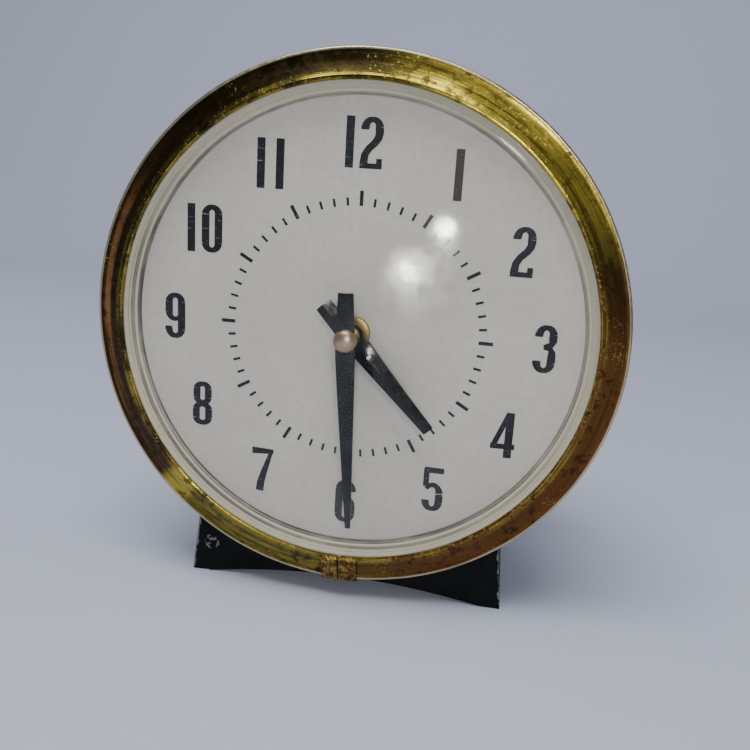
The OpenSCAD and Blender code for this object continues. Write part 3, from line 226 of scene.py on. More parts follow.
# Finishes
def aged_brass(name):
    """Spun brass gone olive, dark and coppery by turns, with specks where it is still bright, and with
    painted reflections: bright and dark patches set by direction round the dial, a painted highlight streak
    and glint, a painted highlight on the rim and a painted dark gap beside the clip.
    """
    finish, tree, shader = new_finish(name)
    heading, radius = round_the_dial(tree)
    streaks = grain(tree, 1.0, 5.0, 0.6, around(tree, heading, radius, 5.0, 900.0))
    rings = grain(tree, 1.0, 2.0, 0.5, around(tree, heading, radius, 1.6, 5200.0))
    patches = grain(tree, 75.0, 5.0, 0.62)
    mottle = grain(tree, 420.0, 4.0, 0.6)
    specks = grain(tree, 1700.0, 3.0, 0.6)
    bright = (0.54, 0.42, 0.055)
    copper = (0.165, 0.058, 0.018)
    dark = (0.022, 0.017, 0.006)
    middle = band(tree, radius, LIP_R + 4.3, 1.5, 0.7)
    edge = between(tree, radius, (LIP_R + 1.7) * MM, (LIP_R + 1.2) * MM)
    uneven = between(tree, mottle, 0.36, 0.62, 0.55, 1.0)
    colour = blend_colour(
        tree, between(tree, streaks, 0.35, 0.68), (0.055, 0.041, 0.011), (0.115, 0.088, 0.022)
    )
    # Patches set by direction round the dial: copper tarnish at the right, and painted reflections and
    # painted highlights elsewhere
    shares = (
        (product(tree, towards(tree, heading, -35, 66, 28), uneven), copper),
        # painted reflection with some tarnish: an orange-brown band on the left
        (product(tree, towards(tree, heading, 168, 44, 22), middle), (0.42, 0.18, 0.065)),
        # painted reflection: dark at the lower left, outside the middle band
        (
            product(tree, towards(tree, heading, 200, 56, 34), maths(tree, "SUBTRACT", 1.0, middle), uneven),
            dark,
        ),
        # painted reflection: dark towards the top
        (
            product(tree, towards(tree, heading, 106, 52, 38), between(tree, streaks, 0.3, 0.6, 1.0, 0.85)),
            dark,
        ),
        # painted highlight: the bright streak at the upper right
        (
            product(tree, towards(tree, heading, 52, 36, 8), between(tree, streaks, 0.36, 0.6, 0.3, 1.0)),
            bright,
        ),
        # painted reflection: gold at the lower left
        (
            product(tree, towards(tree, heading, 248, 36, 10), between(tree, streaks, 0.35, 0.66, 0.08, 0.4)),
            bright,
        ),
        # painted reflection: brown-dark at the lower left
        (
            product(tree, towards(tree, heading, 203, 26, 14), between(tree, streaks, 0.34, 0.6, 0.95, 0.5)),
            (0.05, 0.02, 0.007),
        ),
        # painted glint at the lower left
        (
            product(tree, towards(tree, heading, 225, 5, 1), between(tree, streaks, 0.36, 0.6, 0.3, 1.0)),
            bright,
        ),
        (
            product(
                tree, edge, between(tree, rings, 0.44, 0.56), between(tree, patches, 0.36, 0.62, 0.0, 0.7)
            ),
            bright,
        ),
    )
    for share, tone in shares:
        colour = blend_colour(tree, share, colour, tone)
    lines = product(tree, between(tree, rings, 0.56, 0.64), 0.55)
    colour = blend_colour(tree, lines, colour, dark)
    worn = product(tree, between(tree, specks, 0.60, 0.65), between(tree, patches, 0.53, 0.60))
    near_edge = product(
        tree, between(tree, specks, 0.58, 0.64), between(tree, radius, (LIP_R + 2.6) * MM, (LIP_R + 0.8) * MM)
    )
    worn = maths(tree, "MAXIMUM", worn, product(tree, near_edge, between(tree, mottle, 0.42, 0.56)))
    colour = blend_colour(tree, product(tree, worn, 0.7), colour, (0.46, 0.36, 0.10))
    stains = product(tree, between(tree, mottle, 0.50, 0.62), between(tree, patches, 0.60, 0.48), 0.75)
    colour = blend_colour(tree, stains, colour, (0.03, 0.018, 0.009))
    # painted shade: a dark gap in the bezel just left of the clip
    painted_gap_shade = maths(
        tree,
        "MAXIMUM",
        spot_mask(tree, (-5.3, -60.4, 2.2), 1.5, 0.7),
        spot_mask(tree, (-4.6, -58.0, 3.4), 0.8, 0.7),
    )
    colour = blend_colour(tree, product(tree, painted_gap_shade, 0.9), colour, (0.01, 0.008, 0.005))
    # painted highlight: a pale line along the front of the rolled rim
    y = add(tree, "SeparateXYZ", {0: place_of(tree)}).outputs[1]
    rim = between(tree, radius, (BEZEL_R - 0.8) * MM, (BEZEL_R - 0.5) * MM)
    rim = product(tree, rim, between(tree, y, DIAL_CENTRE.y - 0.8 * MM, DIAL_CENTRE.y - 1.4 * MM))
    rim = product(tree, rim, between(tree, streaks, 0.3, 0.5, 0.5, 0.9))
    colour = blend_colour(tree, rim, colour, (0.56, 0.48, 0.30))
    tree.links.new(colour, shader.inputs["Base Color"])
    shader.inputs["Metallic"].default_value = 1.0
    dull = maths(tree, "ADD", product(tree, stains, 0.25), product(tree, worn, 0.15))
    tree.links.new(
        maths(tree, "ADD", between(tree, patches, 0.3, 0.7, 0.20, 0.30), dull), shader.inputs["Roughness"]
    )
    normal = relief(tree, rings, 0.03, 0.5)
    normal = relief(tree, patches, 0.6, 0.3, normal)
    normal = relief(tree, worn, 0.05, 0.6, normal)
    tree.links.new(normal, shader.inputs["Normal"])
    return finish


def crumpled_brass(name):
    """The clip's thin brass: gold on its folds, orange-brown between, dark in its pits and seam."""
    finish, tree, shader = new_finish(name)
    folds = grain(tree, 520.0, 6.0, 0.68)
    stains = grain(tree, 1250.0, 4.0, 0.62)
    x = add(tree, "SeparateXYZ", {0: place_of(tree)}).outputs[0]
    off_seam = maths(
        tree, "ABSOLUTE", maths(tree, "SUBTRACT", maths(tree, "SUBTRACT", x, DIAL_CENTRE.x), SEAM_X * MM)
    )
    seam = between(tree, maths(tree, "ADD", off_seam, product(tree, stains, 0.4 * MM)), 0.5 * MM, 0.3 * MM)
    worn = blend_colour(tree, between(tree, folds, 0.42, 0.58), (0.11, 0.052, 0.015), (0.36, 0.25, 0.06))
    stained = blend_colour(tree, between(tree, stains, 0.53, 0.6), worn, (0.045, 0.022, 0.008))
    stained = blend_colour(tree, product(tree, seam, 0.9), stained, (0.012, 0.007, 0.003))
    tree.links.new(stained, shader.inputs["Base Color"])
    shader.inputs["Metallic"].default_value = 1.0
    tree.links.new(between(tree, stains, 0.35, 0.7, 0.28, 0.6), shader.inputs["Roughness"])
    normal = relief(tree, folds, 0.5, 0.9)
    tree.links.new(relief(tree, stains, 0.15, 0.7, normal), shader.inputs["Normal"])
    return finish


def turned_metal(name, bright, dark, rough):
    """A machined or rolled metal: faint colour change, handling marks and a fine grain."""
    finish, tree, shader = new_finish(name)
    cloud = grain(tree, 225.0, 4.0, 0.6)
    fine = grain(tree, 2700.0, 3.0, 0.6)
    stretched = add(tree, "Mapping", {"Vector": place_of(tree), "Scale": (1.0, 1.0, 0.08)}).outputs[0]
    scratches = grain(tree, 3600.0, 2.0, 0.5, stretched)
    colour = blend_colour(tree, between(tree, cloud, 0.35, 0.68), bright, dark)
    colour = blend_colour(
        tree, between(tree, fine, 0.62, 0.74, 0.0, 0.5), colour, tuple(c * 0.35 for c in dark)
    )
    tree.links.new(colour, shader.inputs["Base Color"])
    shader.inputs["Metallic"].default_value = 1.0
    tree.links.new(between(tree, cloud, 0.3, 0.7, rough, rough + 0.14), shader.inputs["Roughness"])
    normal = relief(tree, scratches, 0.03, 0.35)
    tree.links.new(relief(tree, fine, 0.03, 0.3, normal), shader.inputs["Normal"])
    return finish


def dial_card_paint(name, tint, speck, grime_and_painted_shade=()):
    """Old off-white paint, faintly mottled, with dust specks and dark rings of grime and painted shade.

    A dark ring is (radius, half width, depth, fade): grime and painted shade at the flange's steps and the
    dial's edge, standing in for shadows and glass-edge lines, and fades towards the upper right, where the
    painted shade is lighter.
    """
    finish, tree, shader = new_finish(name)
    heading, radius = round_the_dial(tree)
    cloud = grain(tree, 28.0, 4.0, 0.6)
    mottle = grain(tree, 620.0, 4.0, 0.65)
    dust = grain(tree, 1900.0, 2.0, 0.5)
    base = blend_colour(tree, between(tree, cloud, 0.35, 0.65), tint, tuple(c * 0.93 for c in tint))
    base = blend_colour(
        tree, between(tree, mottle, 0.4, 0.68, 0.0, 0.45), base, tuple(c * 0.82 for c in tint)
    )
    base = blend_colour(tree, between(tree, dust, 0.70, 0.76, 0.0, 0.5), base, speck)
    uneven = between(
        tree, grain(tree, 1.0, 4.0, 0.6, around(tree, heading, radius, 3.5, 500.0)), 0.3, 0.6, 0.6, 1.0
    )
    lines = grain(tree, 1.0, 2.0, 0.5, around(tree, heading, radius, 0.8, 4200.0))
    uneven = product(tree, uneven, between(tree, lines, 0.38, 0.54, 0.6, 1.0))
    # the dark rings are painted shade as well as grime, fainter towards the upper right
    upper_right = towards(tree, heading, 60, 125, 55)
    for middle, half, depth, fade in grime_and_painted_shade:
        kept = maths(tree, "SUBTRACT", 1.0, product(tree, upper_right, fade))
        share = product(tree, band(tree, radius, middle, half, 0.4), uneven, kept, depth)
        base = blend_colour(tree, share, base, (0.05, 0.047, 0.04))
    tree.links.new(base, shader.inputs["Base Color"])
    tree.links.new(between(tree, mottle, 0.3, 0.7, 0.42, 0.6), shader.inputs["Roughness"])
    normal = relief(tree, mottle, 0.04, 0.5)
    tree.links.new(relief(tree, dust, 0.02, 0.4, normal), shader.inputs["Normal"])
    return finish


def worn_ink(name, paper):
    """Printing ink, navy to black and browned near one o'clock, rubbed and scratched through."""
    finish, tree, shader = new_finish(name)
    cloud = grain(tree, 45.0, 2.0, 0.5)
    flakes = grain(tree, 2300.0, 4.0, 0.6)
    slanted = add(
        tree,
        "Mapping",
        {"Vector": place_of(tree), "Rotation": (0.0, math.radians(35), 0.0), "Scale": (0.05, 1.0, 1.0)},
    ).outputs[0]
    scratches = grain(tree, 2600.0, 1.0, 0.4, slanted)
    ink = blend_colour(tree, between(tree, cloud, 0.4, 0.62), (0.008, 0.008, 0.018), (0.006, 0.006, 0.008))
    greyed = product(tree, spot_mask(tree, (4, -45, 0), 34, 0.8), 0.5)
    ink = blend_colour(tree, greyed, ink, (0.075, 0.073, 0.068))
    browned = product(tree, spot_mask(tree, (24, 38, 0), 22, 0.8), 0.85)
    ink = blend_colour(tree, browned, ink, (0.056, 0.044, 0.027))
    shader.inputs["Specular IOR Level"].default_value = 0.25
    rubbed = between(tree, flakes, 0.60, 0.72, 0.0, 0.5)
    scored = between(tree, scratches, 0.70, 0.74, 0.0, 0.75)
    ink = blend_colour(tree, maths(tree, "MAXIMUM", rubbed, scored), ink, tuple(c * 0.55 for c in paper))
    tree.links.new(ink, shader.inputs["Base Color"])
    tree.links.new(between(tree, flakes, 0.3, 0.7, 0.34, 0.55), shader.inputs["Roughness"])
    tree.links.new(relief(tree, flakes, 0.03, 0.5), shader.inputs["Normal"])
    return finish


def hand_lacquer(name):
    """Gloss black lacquer on folded steel, greyed by dust and rubbed on the folds."""
    finish, tree, shader = new_finish(name)
    dust = grain(tree, 700.0, 5.0, 0.65)
    rubs = grain(tree, 2600.0, 2.0, 0.5)
    colour = blend_colour(tree, between(tree, dust, 0.4, 0.72), (0.003, 0.0042, 0.004), (0.014, 0.016, 0.015))
    colour = blend_colour(tree, between(tree, rubs, 0.69, 0.74, 0.0, 0.6), colour, (0.13, 0.13, 0.11))
    tree.links.new(colour, shader.inputs["Base Color"])
    tree.links.new(between(tree, dust, 0.3, 0.75, 0.10, 0.24), shader.inputs["Roughness"])
    shader.inputs["Specular IOR Level"].default_value = 0.4
    tree.links.new(relief(tree, dust, 0.05, 0.35), shader.inputs["Normal"])
    return finish


def stoved_enamel(name, chips=None):
    """Stoved black enamel with orange peel, dust and, where chips says, bare grey metal."""
    finish, tree, shader = new_finish(name)
    peel = grain(tree, 900.0, 2.0, 0.5)
    dust = grain(tree, 160.0, 5.0, 0.7)
    colour = blend_colour(
        tree, between(tree, dust, 0.42, 0.72), (0.0012, 0.0014, 0.0018), (0.005, 0.0056, 0.007)
    )
    rough = between(tree, dust, 0.3, 0.7, 0.34, 0.52)
    shader.inputs["Specular IOR Level"].default_value = 0.12
    normal = relief(tree, peel, 0.03, 0.5)
    if chips:
        bare = chips(tree)
        scuffs = grain(tree, 2100.0, 4.0, 0.6)
        metal = blend_colour(tree, scuffs, (0.07, 0.073, 0.078), (0.24, 0.245, 0.26))
        colour = blend_colour(tree, bare, colour, metal)
        rough = maths(tree, "ADD", rough, product(tree, bare, 0.2))
        normal = relief(tree, maths(tree, "SUBTRACT", 1.0, bare), 0.12, 0.8, normal)
    tree.links.new(colour, shader.inputs["Base Color"])
    tree.links.new(rough, shader.inputs["Roughness"])
    tree.links.new(normal, shader.inputs["Normal"])
    return finish


def base_chips(tree):
    """Bare patches along the base's outer edges, at its foot and on the front of its left side."""
    x, y, z = add(tree, "SeparateXYZ", {0: place_of(tree)}).outputs
    ragged = grain(tree, 330.0, 6.0, 0.68)
    fine = grain(tree, 700.0, 3.0, 0.6)
    side = maths(tree, "ABSOLUTE", maths(tree, "SUBTRACT", x, DIAL_CENTRE.x))
    # the sides lean in towards the top
    lean = maths(tree, "ADD", side, product(tree, z, BASE_LEAN))
    edge = between(tree, lean, (base_high.x - 1.5) * MM, (base_high.x - 0.1) * MM)
    # only where the sides meet the front and the back
    middle_y = DIAL_CENTRE.y - (base_high.z + base_low.z) / 2 * MM
    half_y = (base_high.z - base_low.z) / 2 * MM
    from_middle = maths(tree, "ABSOLUTE", maths(tree, "SUBTRACT", y, middle_y))
    edge = product(tree, edge, between(tree, from_middle, half_y - 2.8 * MM, half_y - 0.2 * MM))
    foot = between(tree, z, 1.6 * MM, 0.2 * MM, 0.0, 0.75)
    near = maths(tree, "MAXIMUM", edge, foot)
    chipped = between(tree, maths(tree, "ADD", product(tree, near, 0.5), ragged), 0.93, 0.97)
    nick = product(tree, spot_mask(tree, (-35.0, -59.4, -3.0), 3.2, 0.5), 0.47)
    nicked = between(tree, maths(tree, "ADD", nick, fine), 0.93, 0.98)
    return maths(tree, "MAXIMUM", chipped, nicked)


def clear_glass(name):
    """Old clear glass, shown only by its reflection, which is stronger at grazing angles."""
    finish, tree, shader = new_finish(name)
    smears = grain(tree, 60.0, 5.0, 0.7)
    facing = add(tree, "LayerWeight", {"Blend": 0.5}).outputs["Facing"]
    gloss = product(tree, maths(tree, "POWER", facing, 4.0), 0.75)
    haze = between(tree, smears, 0.35, 0.8, 0.004, 0.016)
    smear = product(
        tree, spot_mask(tree, (15.5, 15.5, 14.0), 14.0, 0.8), between(tree, smears, 0.3, 0.6, 0.035, 0.06)
    )
    smear = maths(tree, "ADD", smear, product(tree, spot_mask(tree, (22.5, 24.5, 13.0), 6.0), 0.03))
    tree.links.new(maths(tree, "ADD", gloss, maths(tree, "ADD", haze, smear)), shader.inputs["Alpha"])
    shader.inputs["Base Color"].default_value = (0.96, 0.96, 0.94, 1)
    shader.inputs["Metallic"].default_value = 1.0
    dulled = product(
        tree,
        spot_mask(tree, (16.0, 13.0, 14.0), 15.0, 0.7),
        between(tree, grain(tree, 240.0, 4.0, 0.6), 0.36, 0.6, 0.05, 0.17),
    )
    tree.links.new(
        maths(tree, "ADD", between(tree, smears, 0.3, 0.8, 0.05, 0.14), dulled), shader.inputs["Roughness"]
    )
    return finish


PAPER = (0.575, 0.547, 0.475)
FINISHES = {
    "bezel_brass": aged_brass("tarnished_spun_brass"),
    "crystal_clear": clear_glass("old_clear_glass"),
    "flange_cream": dial_card_paint(
        "cream_flange_enamel",
        (0.66, 0.61, 0.46),
        (0.30, 0.26, 0.18),
        # rings of painted shade and grime at the flange's steps, standing in for shadows and glass-edge lines
        (
            (FLANGE_INNER_R + 0.2, 0.4, 0.95, 0.2),
            (FLANGE_INNER_R + 1.25, 0.36, 0.85, 0.85),
            (FLANGE_INNER_R + 1.9, 0.1, 0.45, 0.6),
        ),
    ),
    "dial_paint": dial_card_paint(
        # a ring of painted shadow and grime where the flange meets the dial
        "off_white_dial_paint", PAPER, (0.28, 0.26, 0.21), ((FLANGE_INNER_R - 0.15, 0.34, 0.95, 0.3),)
    ),
    "dial_ink": worn_ink("worn_dial_ink", PAPER),
    "hand_black": hand_lacquer("black_hand_lacquer"),
    "bright_brass": turned_metal("dulled_collar_brass", (0.50, 0.40, 0.16), (0.30, 0.22, 0.08), 0.28),
    "nut_copper": turned_metal("coppery_nut", (0.50, 0.37, 0.25), (0.36, 0.25, 0.16), 0.26),
    "case_black": stoved_enamel("black_case_enamel"),
    "screw_steel": turned_metal("nickelled_screw_steel", (0.62, 0.61, 0.58), (0.38, 0.36, 0.33), 0.28),
    "arbor_steel": turned_metal("polished_arbor_steel", (0.60, 0.60, 0.60), (0.42, 0.42, 0.43), 0.18),
    "spring_steel": turned_metal("blued_spring_steel", (0.20, 0.22, 0.30), (0.10, 0.11, 0.16), 0.25),
    "bell_steel": turned_metal("dull_bell_steel", (0.52, 0.51, 0.48), (0.34, 0.32, 0.29), 0.30),
    "key_brass": turned_metal("handled_key_brass", (0.70, 0.54, 0.20), (0.38, 0.26, 0.09), 0.27),
    "movement_brass": turned_metal("rolled_plate_brass", (0.74, 0.60, 0.27), (0.52, 0.40, 0.16), 0.26),
}
CHIPPED_ENAMEL = stoved_enamel("chipped_base_enamel", base_chips)
CLIP_BRASS = crumpled_brass("crumpled_clip_brass")


# Shapes
CREASE = 32.0  # faces that meet at more degrees than this keep a sharp edge


def ring_point(radius, degrees, z=0.0):
    turn = math.radians(degrees)
    return Vector((radius * math.cos(turn), radius * math.sin(turn), z))


def verts_of(geom):
    return [part for part in geom if isinstance(part, bmesh.types.BMVert)]


def edges_of(geom):
    return [part for part in geom if isinstance(part, bmesh.types.BMEdge)]


def edge_chain(bm, points):
    verts = [bm.verts.new(point) for point in points]
    return verts, [bm.edges.new(pair) for pair in zip(verts, verts[1:])]


def sheet_rows(bm, across, count):
    """Rows of a sheet, each sorted from left to right: one drawn, the others extruded from it."""
    row, edges = edge_chain(bm, [(x, 0, 0) for x in across])
    rows = [row]
    for _ in range(count - 1):
        made = bmesh.ops.extrude_edge_only(bm, edges=edges)["geom"]
        edges = edges_of(made)
        rows.append(sorted(verts_of(made), key=lambda v: v.co.x))
    return rows


def lathe(bm, outline, steps, start=0.0, turn=360.0, closed=True):
    """Spins (radius, z) points round the z axis; an open outline starts and ends on the axis."""
    verts, edges = edge_chain(bm, [ring_point(r, start, z) for r, z in outline])
    if closed:
        edges.append(bm.edges.new((verts[-1], verts[0])))
    whole = turn == 360.0
    bmesh.ops.spin(
        bm,
        geom=verts + edges,
        cent=(0, 0, 0),
        axis=(0, 0, 1),
        angle=math.radians(turn),
        steps=steps,
        use_merge=whole,
    )
    if not whole:
        bmesh.ops.holes_fill(bm, edges=[e for e in bm.edges if e.is_boundary], sides=0)


def make_piece(bm, name, body, slot, stands_for=(), finish=None, crease=CREASE):
    """Turns a finished bmesh in the clock's frame into a piece that rides on a body."""
    bmesh.ops.remove_doubles(bm, verts=bm.verts, dist=0.0005)
    bmesh.ops.recalc_face_normals(bm, faces=bm.faces)
    bm.transform(TO_FRAME)
    mesh = bpy.data.meshes.new(name)
    bm.to_mesh(mesh)
    bm.free()
    add_piece(mesh, name, body, slot, stands_for, finish, crease)


def turned_piece(outline, steps, *labels, at=(0, 0), closed=True, crease=CREASE):
    """A piece spun whole from its outline, round an axis through a point of the dial's plane."""
    bm = bmesh.new()
    lathe(bm, outline, steps, closed=closed)
    if at != (0, 0):
        bmesh.ops.translate(bm, vec=(*at, 0), verts=bm.verts)
    make_piece(bm, *labels, crease=crease)


def add_piece(mesh, name, body, slot, stands_for, finish, crease):
    mesh.shade_smooth()
    mesh.set_sharp_from_angle(angle=math.radians(crease))
    mesh.materials.clear()
    mesh.materials.append(finish or FINISHES[slot])
    piece = bpy.data.objects.new(name, mesh)
    bpy.context.scene.collection.objects.link(piece)
    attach(piece, body)
    if stands_for:
        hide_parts(*stands_for)
    return piece


def softened(node, name, slot, edge, finish=None, segments=2):
    """A copy of a CAD node with its triangles joined into faces and its edges rounded."""
    source = frame["nodes"][node]
    bm = bmesh.new()
    bm.from_mesh(source.data)
    bmesh.ops.remove_doubles(bm, verts=bm.verts, dist=2e-6)
    bmesh.ops.dissolve_limit(bm, angle_limit=math.radians(0.5), verts=bm.verts, edges=bm.edges)
    mesh = bpy.data.meshes.new(name)
    bm.to_mesh(mesh)
    bm.free()
    piece = add_piece(mesh, name, source["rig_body"], slot, (node,), finish, CREASE)
    rounding = piece.modifiers.new("rounded_edges", "BEVEL")
    rounding.width = edge * MM
    rounding.segments = segments
    rounding.limit_method = "ANGLE"
    rounding.angle_limit = math.radians(CREASE)
    rounding.use_clamp_overlap = True


def wander(point, scale, depth):
    """A smooth offset that changes from place to place, for hand-bent sheet."""
    return noise.noise(Vector(point) * scale) * depth


# Bezel: thin sheet with a bead at its inner edge, a slightly hollow face and a rolled rim
def make_bezel():
    r, top, back, wall = BEZEL_R, BEZEL_TOP, BEZEL_BACK, BEZEL_WALL
    lip = LIP_R - 0.3
    drop = top - FACE_EDGE_Z
    face = [(lip + 1.3 + (r - 2.2 - lip) * i / 8, i / 8) for i in range(9)]
    outside = [(lip, top - 0.45), (lip + 0.05, top - 0.18), (lip + 0.25, top - 0.03), (lip + 0.55, top)]
    outside += [(lip + 0.85, top - 0.06), (lip + 1.08, top - 0.2)]
    outside += [(x, top - 0.32 - (drop - 0.32) * t - 0.14 * math.sin(math.pi * t)) for x, t in face]
    outside += [(r - 0.72, top - drop + 0.06), (r - 0.5, top - drop + 0.1), (r - 0.22, top - drop - 0.02)]
    outside += [(r - 0.05, top - drop - 0.3), (r, top - drop - 0.7), (r, back + 0.2), (r - 0.15, back)]
    inside = [(r - 3.9, back), (r - 3.9, back + wall), (r - wall, back + wall), (r - wall, top - drop - 0.75)]
    inside += [(r - 0.95, top - drop - 0.42), (lip + 0.95, top - wall), (lip, top - wall)]
    half_gap = 0.56
    bm = bmesh.new()
    lathe(bm, outside + inside, 300, -90 + half_gap, 360 - 2 * half_gap)
    # the face isn't quite even
    for v in bm.verts:
        over = v.co.xy.length
        if lip + 1.2 < over < r - 1 and v.co.z > 1.9:
            v.co.z += wander(v.co, 0.09, 0.07) + wander(v.co, 0.31, 0.025) - 0.02
    make_piece(bm, "bezel_sheet", "clock_frame", "bezel_brass", ("bezel_ring",), crease=40)


# Clip: a strip folded over the bezel's joint, with a seam, crumpled and torn along its top edge
def make_clip():
    half, columns = clock_box("bezel_clip")[1].x, 26
    r, top, lip = BEZEL_R + 0.13, BEZEL_TOP + 0.13, LIP_R - 0.12
    path = [(lip, GLASS_RIM + 0.2, -0.2), (lip - 0.02, top - 0.15, 0.0), (lip + 0.25, top + 0.02, 0.4)]
    path += [
        (lip + 0.25 + (r - 0.9 - lip) * i / 12, top - (top - 2.45) * (i / 12) ** 1.08, 1.0)
        for i in range(1, 13)
    ]
    path += [
        (r - 0.2, 2.3, 0.8),
        (r + 0.1, 1.7, 0.6),
        (r + 0.12, 0.4, 0.4),
        (r + 0.12, -1.0, 0.2),
        (r, BEZEL_BACK - 0.1, 0.1),
    ]
    bm = bmesh.new()
    rows = sheet_rows(bm, [half * (2 * i / columns - 1) for i in range(columns + 1)], len(path))
    for verts, (radius, z, freedom) in zip(rows, path):
        for v in verts:
            x = v.co.x
            torn = 0.9 * abs(wander((x, 3.0, 0), 0.9, 1.0)) if radius < lip + 0.3 else 0.0
            crumple = abs(wander((x, radius, 7.0), 0.75, 0.36)) + wander((x, radius, 2.0), 2.1, 0.18)
            seam = 0.34 * math.exp(-(((x - SEAM_X) / 0.3) ** 2))
            out = max(0.0, freedom * (crumple + 0.12 - seam))
            flare = 0.35 * max(0.0, abs(x) / half - 0.85) * freedom
            reach = radius + torn + (out * 0.4 if radius < BEZEL_R - 0.5 else out)
            lift = out * 0.9 if radius < BEZEL_R - 0.5 else 0.0
            v.co = Vector(
                (x + wander((radius, x, 5.0), 0.8, 0.12), -math.sqrt(reach * reach - x * x), z + lift + flare)
            )
    thick = bmesh.ops.extrude_face_region(bm, geom=bm.faces[:])["geom"]
    for v in verts_of(thick):
        radial = Vector((v.co.x, v.co.y, 0)).normalized()
        v.co += radial * 0.22 + Vector((0, 0, 0.22 if v.co.z > 1.9 else 0.05))
    make_piece(bm, "bezel_clip_band", "clock_frame", "bezel_brass", ("bezel_clip",), CLIP_BRASS, crease=50)


# Glass: a shallow dome on a flat rim
def make_glass():
    rise = GLASS_TOP - GLASS_RIM
    ball = (DOME_R**2 + rise**2) / (2 * rise)
    half = math.asin(DOME_R / ball)
    middle = GLASS_TOP - ball

    def arch(radius, reach):
        turns = [reach * i / 40 for i in range(41)]
        return [(radius * math.sin(turn), middle + radius * math.cos(turn)) for turn in turns]

    outline = arch(ball, half * 0.992)
    outline += [(DOME_R + 0.25, GLASS_RIM + 0.03), (GLASS_R, GLASS_RIM), (GLASS_R, GLASS_RIM - GLASS_WALL)]
    outline += [(DOME_R - 0.1, GLASS_RIM - GLASS_WALL)]
    outline += list(reversed(arch(ball - GLASS_WALL, half * 0.985)))
    labels = "crystal_dome", "clock_frame", "crystal_clear", ("crystal",)
    turned_piece(outline, 160, *labels, closed=False, crease=25)


# Flange: a cream cone between the dial and the glass, with a step near each edge
def make_flange():
    inner, outer, top = FLANGE_INNER_R, LIP_R - 0.1, flange_high.z
    steps = [(inner, 0.06), (inner, 0.4), (inner + 0.35, 0.62), (inner + 0.75, 0.66), (inner + 0.95, 0.95)]
    steps += [(outer - 0.55, top - 0.75), (outer - 0.3, top - 0.35), (outer, top), (flange_high.x, top)]
    under = [(flange_high.x, 0.06), (flange_high.x - 0.5, 0.06), (flange_high.x - 0.5, top - 0.5)]
    under += [(outer + 0.2, top - 0.5), (inner + 0.9, 0.06)]
    labels = "flange_cone", "clock_frame", "flange_cream", ("dial_flange",)
    turned_piece(steps + under, 160, *labels, crease=25)


# Numerals
def bend(x, y, wide, tall, start, end):
    """Points along part of an oval, from one direction to another in degrees."""
    turns = [math.radians(start + (end - start) * i / 10) for i in range(11)]
    return [Vector((x + wide * math.cos(t), y + tall * math.sin(t))) for t in turns]


def stroke(bm, path, widths, centre, height):
    """A printed stroke: an edge drawn along a path while its width changes, then thickened."""
    path = [Vector(p) for p in path]
    edge, faces, last = None, [], None
    for i, point in enumerate(path):
        along = (path[min(i + 1, len(path) - 1)] - path[max(i - 1, 0)]).normalized()
        share = i / (len(path) - 1) * (len(widths) - 1)
        low = min(int(share), len(widths) - 2)
        width = widths[low] + (widths[low + 1] - widths[low]) * (share - low)
        across = Vector((-along.y, along.x)) * width / 2
        ends = [(*(centre + point + across), 0), (*(centre + point - across), 0)]
        if edge is None:
            last = [bm.verts.new(p) for p in ends]
            edge = bm.edges.new(last)
            continue
        made = bmesh.ops.extrude_edge_only(bm, edges=[edge])["geom"]
        edge = edges_of(made)[0]
        faces += [part for part in made if isinstance(part, bmesh.types.BMFace)]
        # each new corner follows the old one that it starts on
        last = [min(verts_of(made), key=lambda v, old=old: (v.co - old.co).length) for old in last]
        for v, p in zip(last, ends):
            v.co = p
    top = bmesh.ops.extrude_face_region(bm, geom=faces)["geom"]
    bmesh.ops.translate(bm, vec=(0, 0, height), verts=verts_of(top))


HEAVY, THIN = 1.85, 1.15
NUMERAL_R, SIDE_NUMERAL_R = 42.3, 43.6
INK_DEPTH, STROKE_STEP = 0.05, 0.004  # each stroke is a little deeper, so that none lie level
PAIR_SHIFTS = {10: (-3.05, 1.95), 11: (-2.2, 2.2), 12: (-3.3, 1.6)}


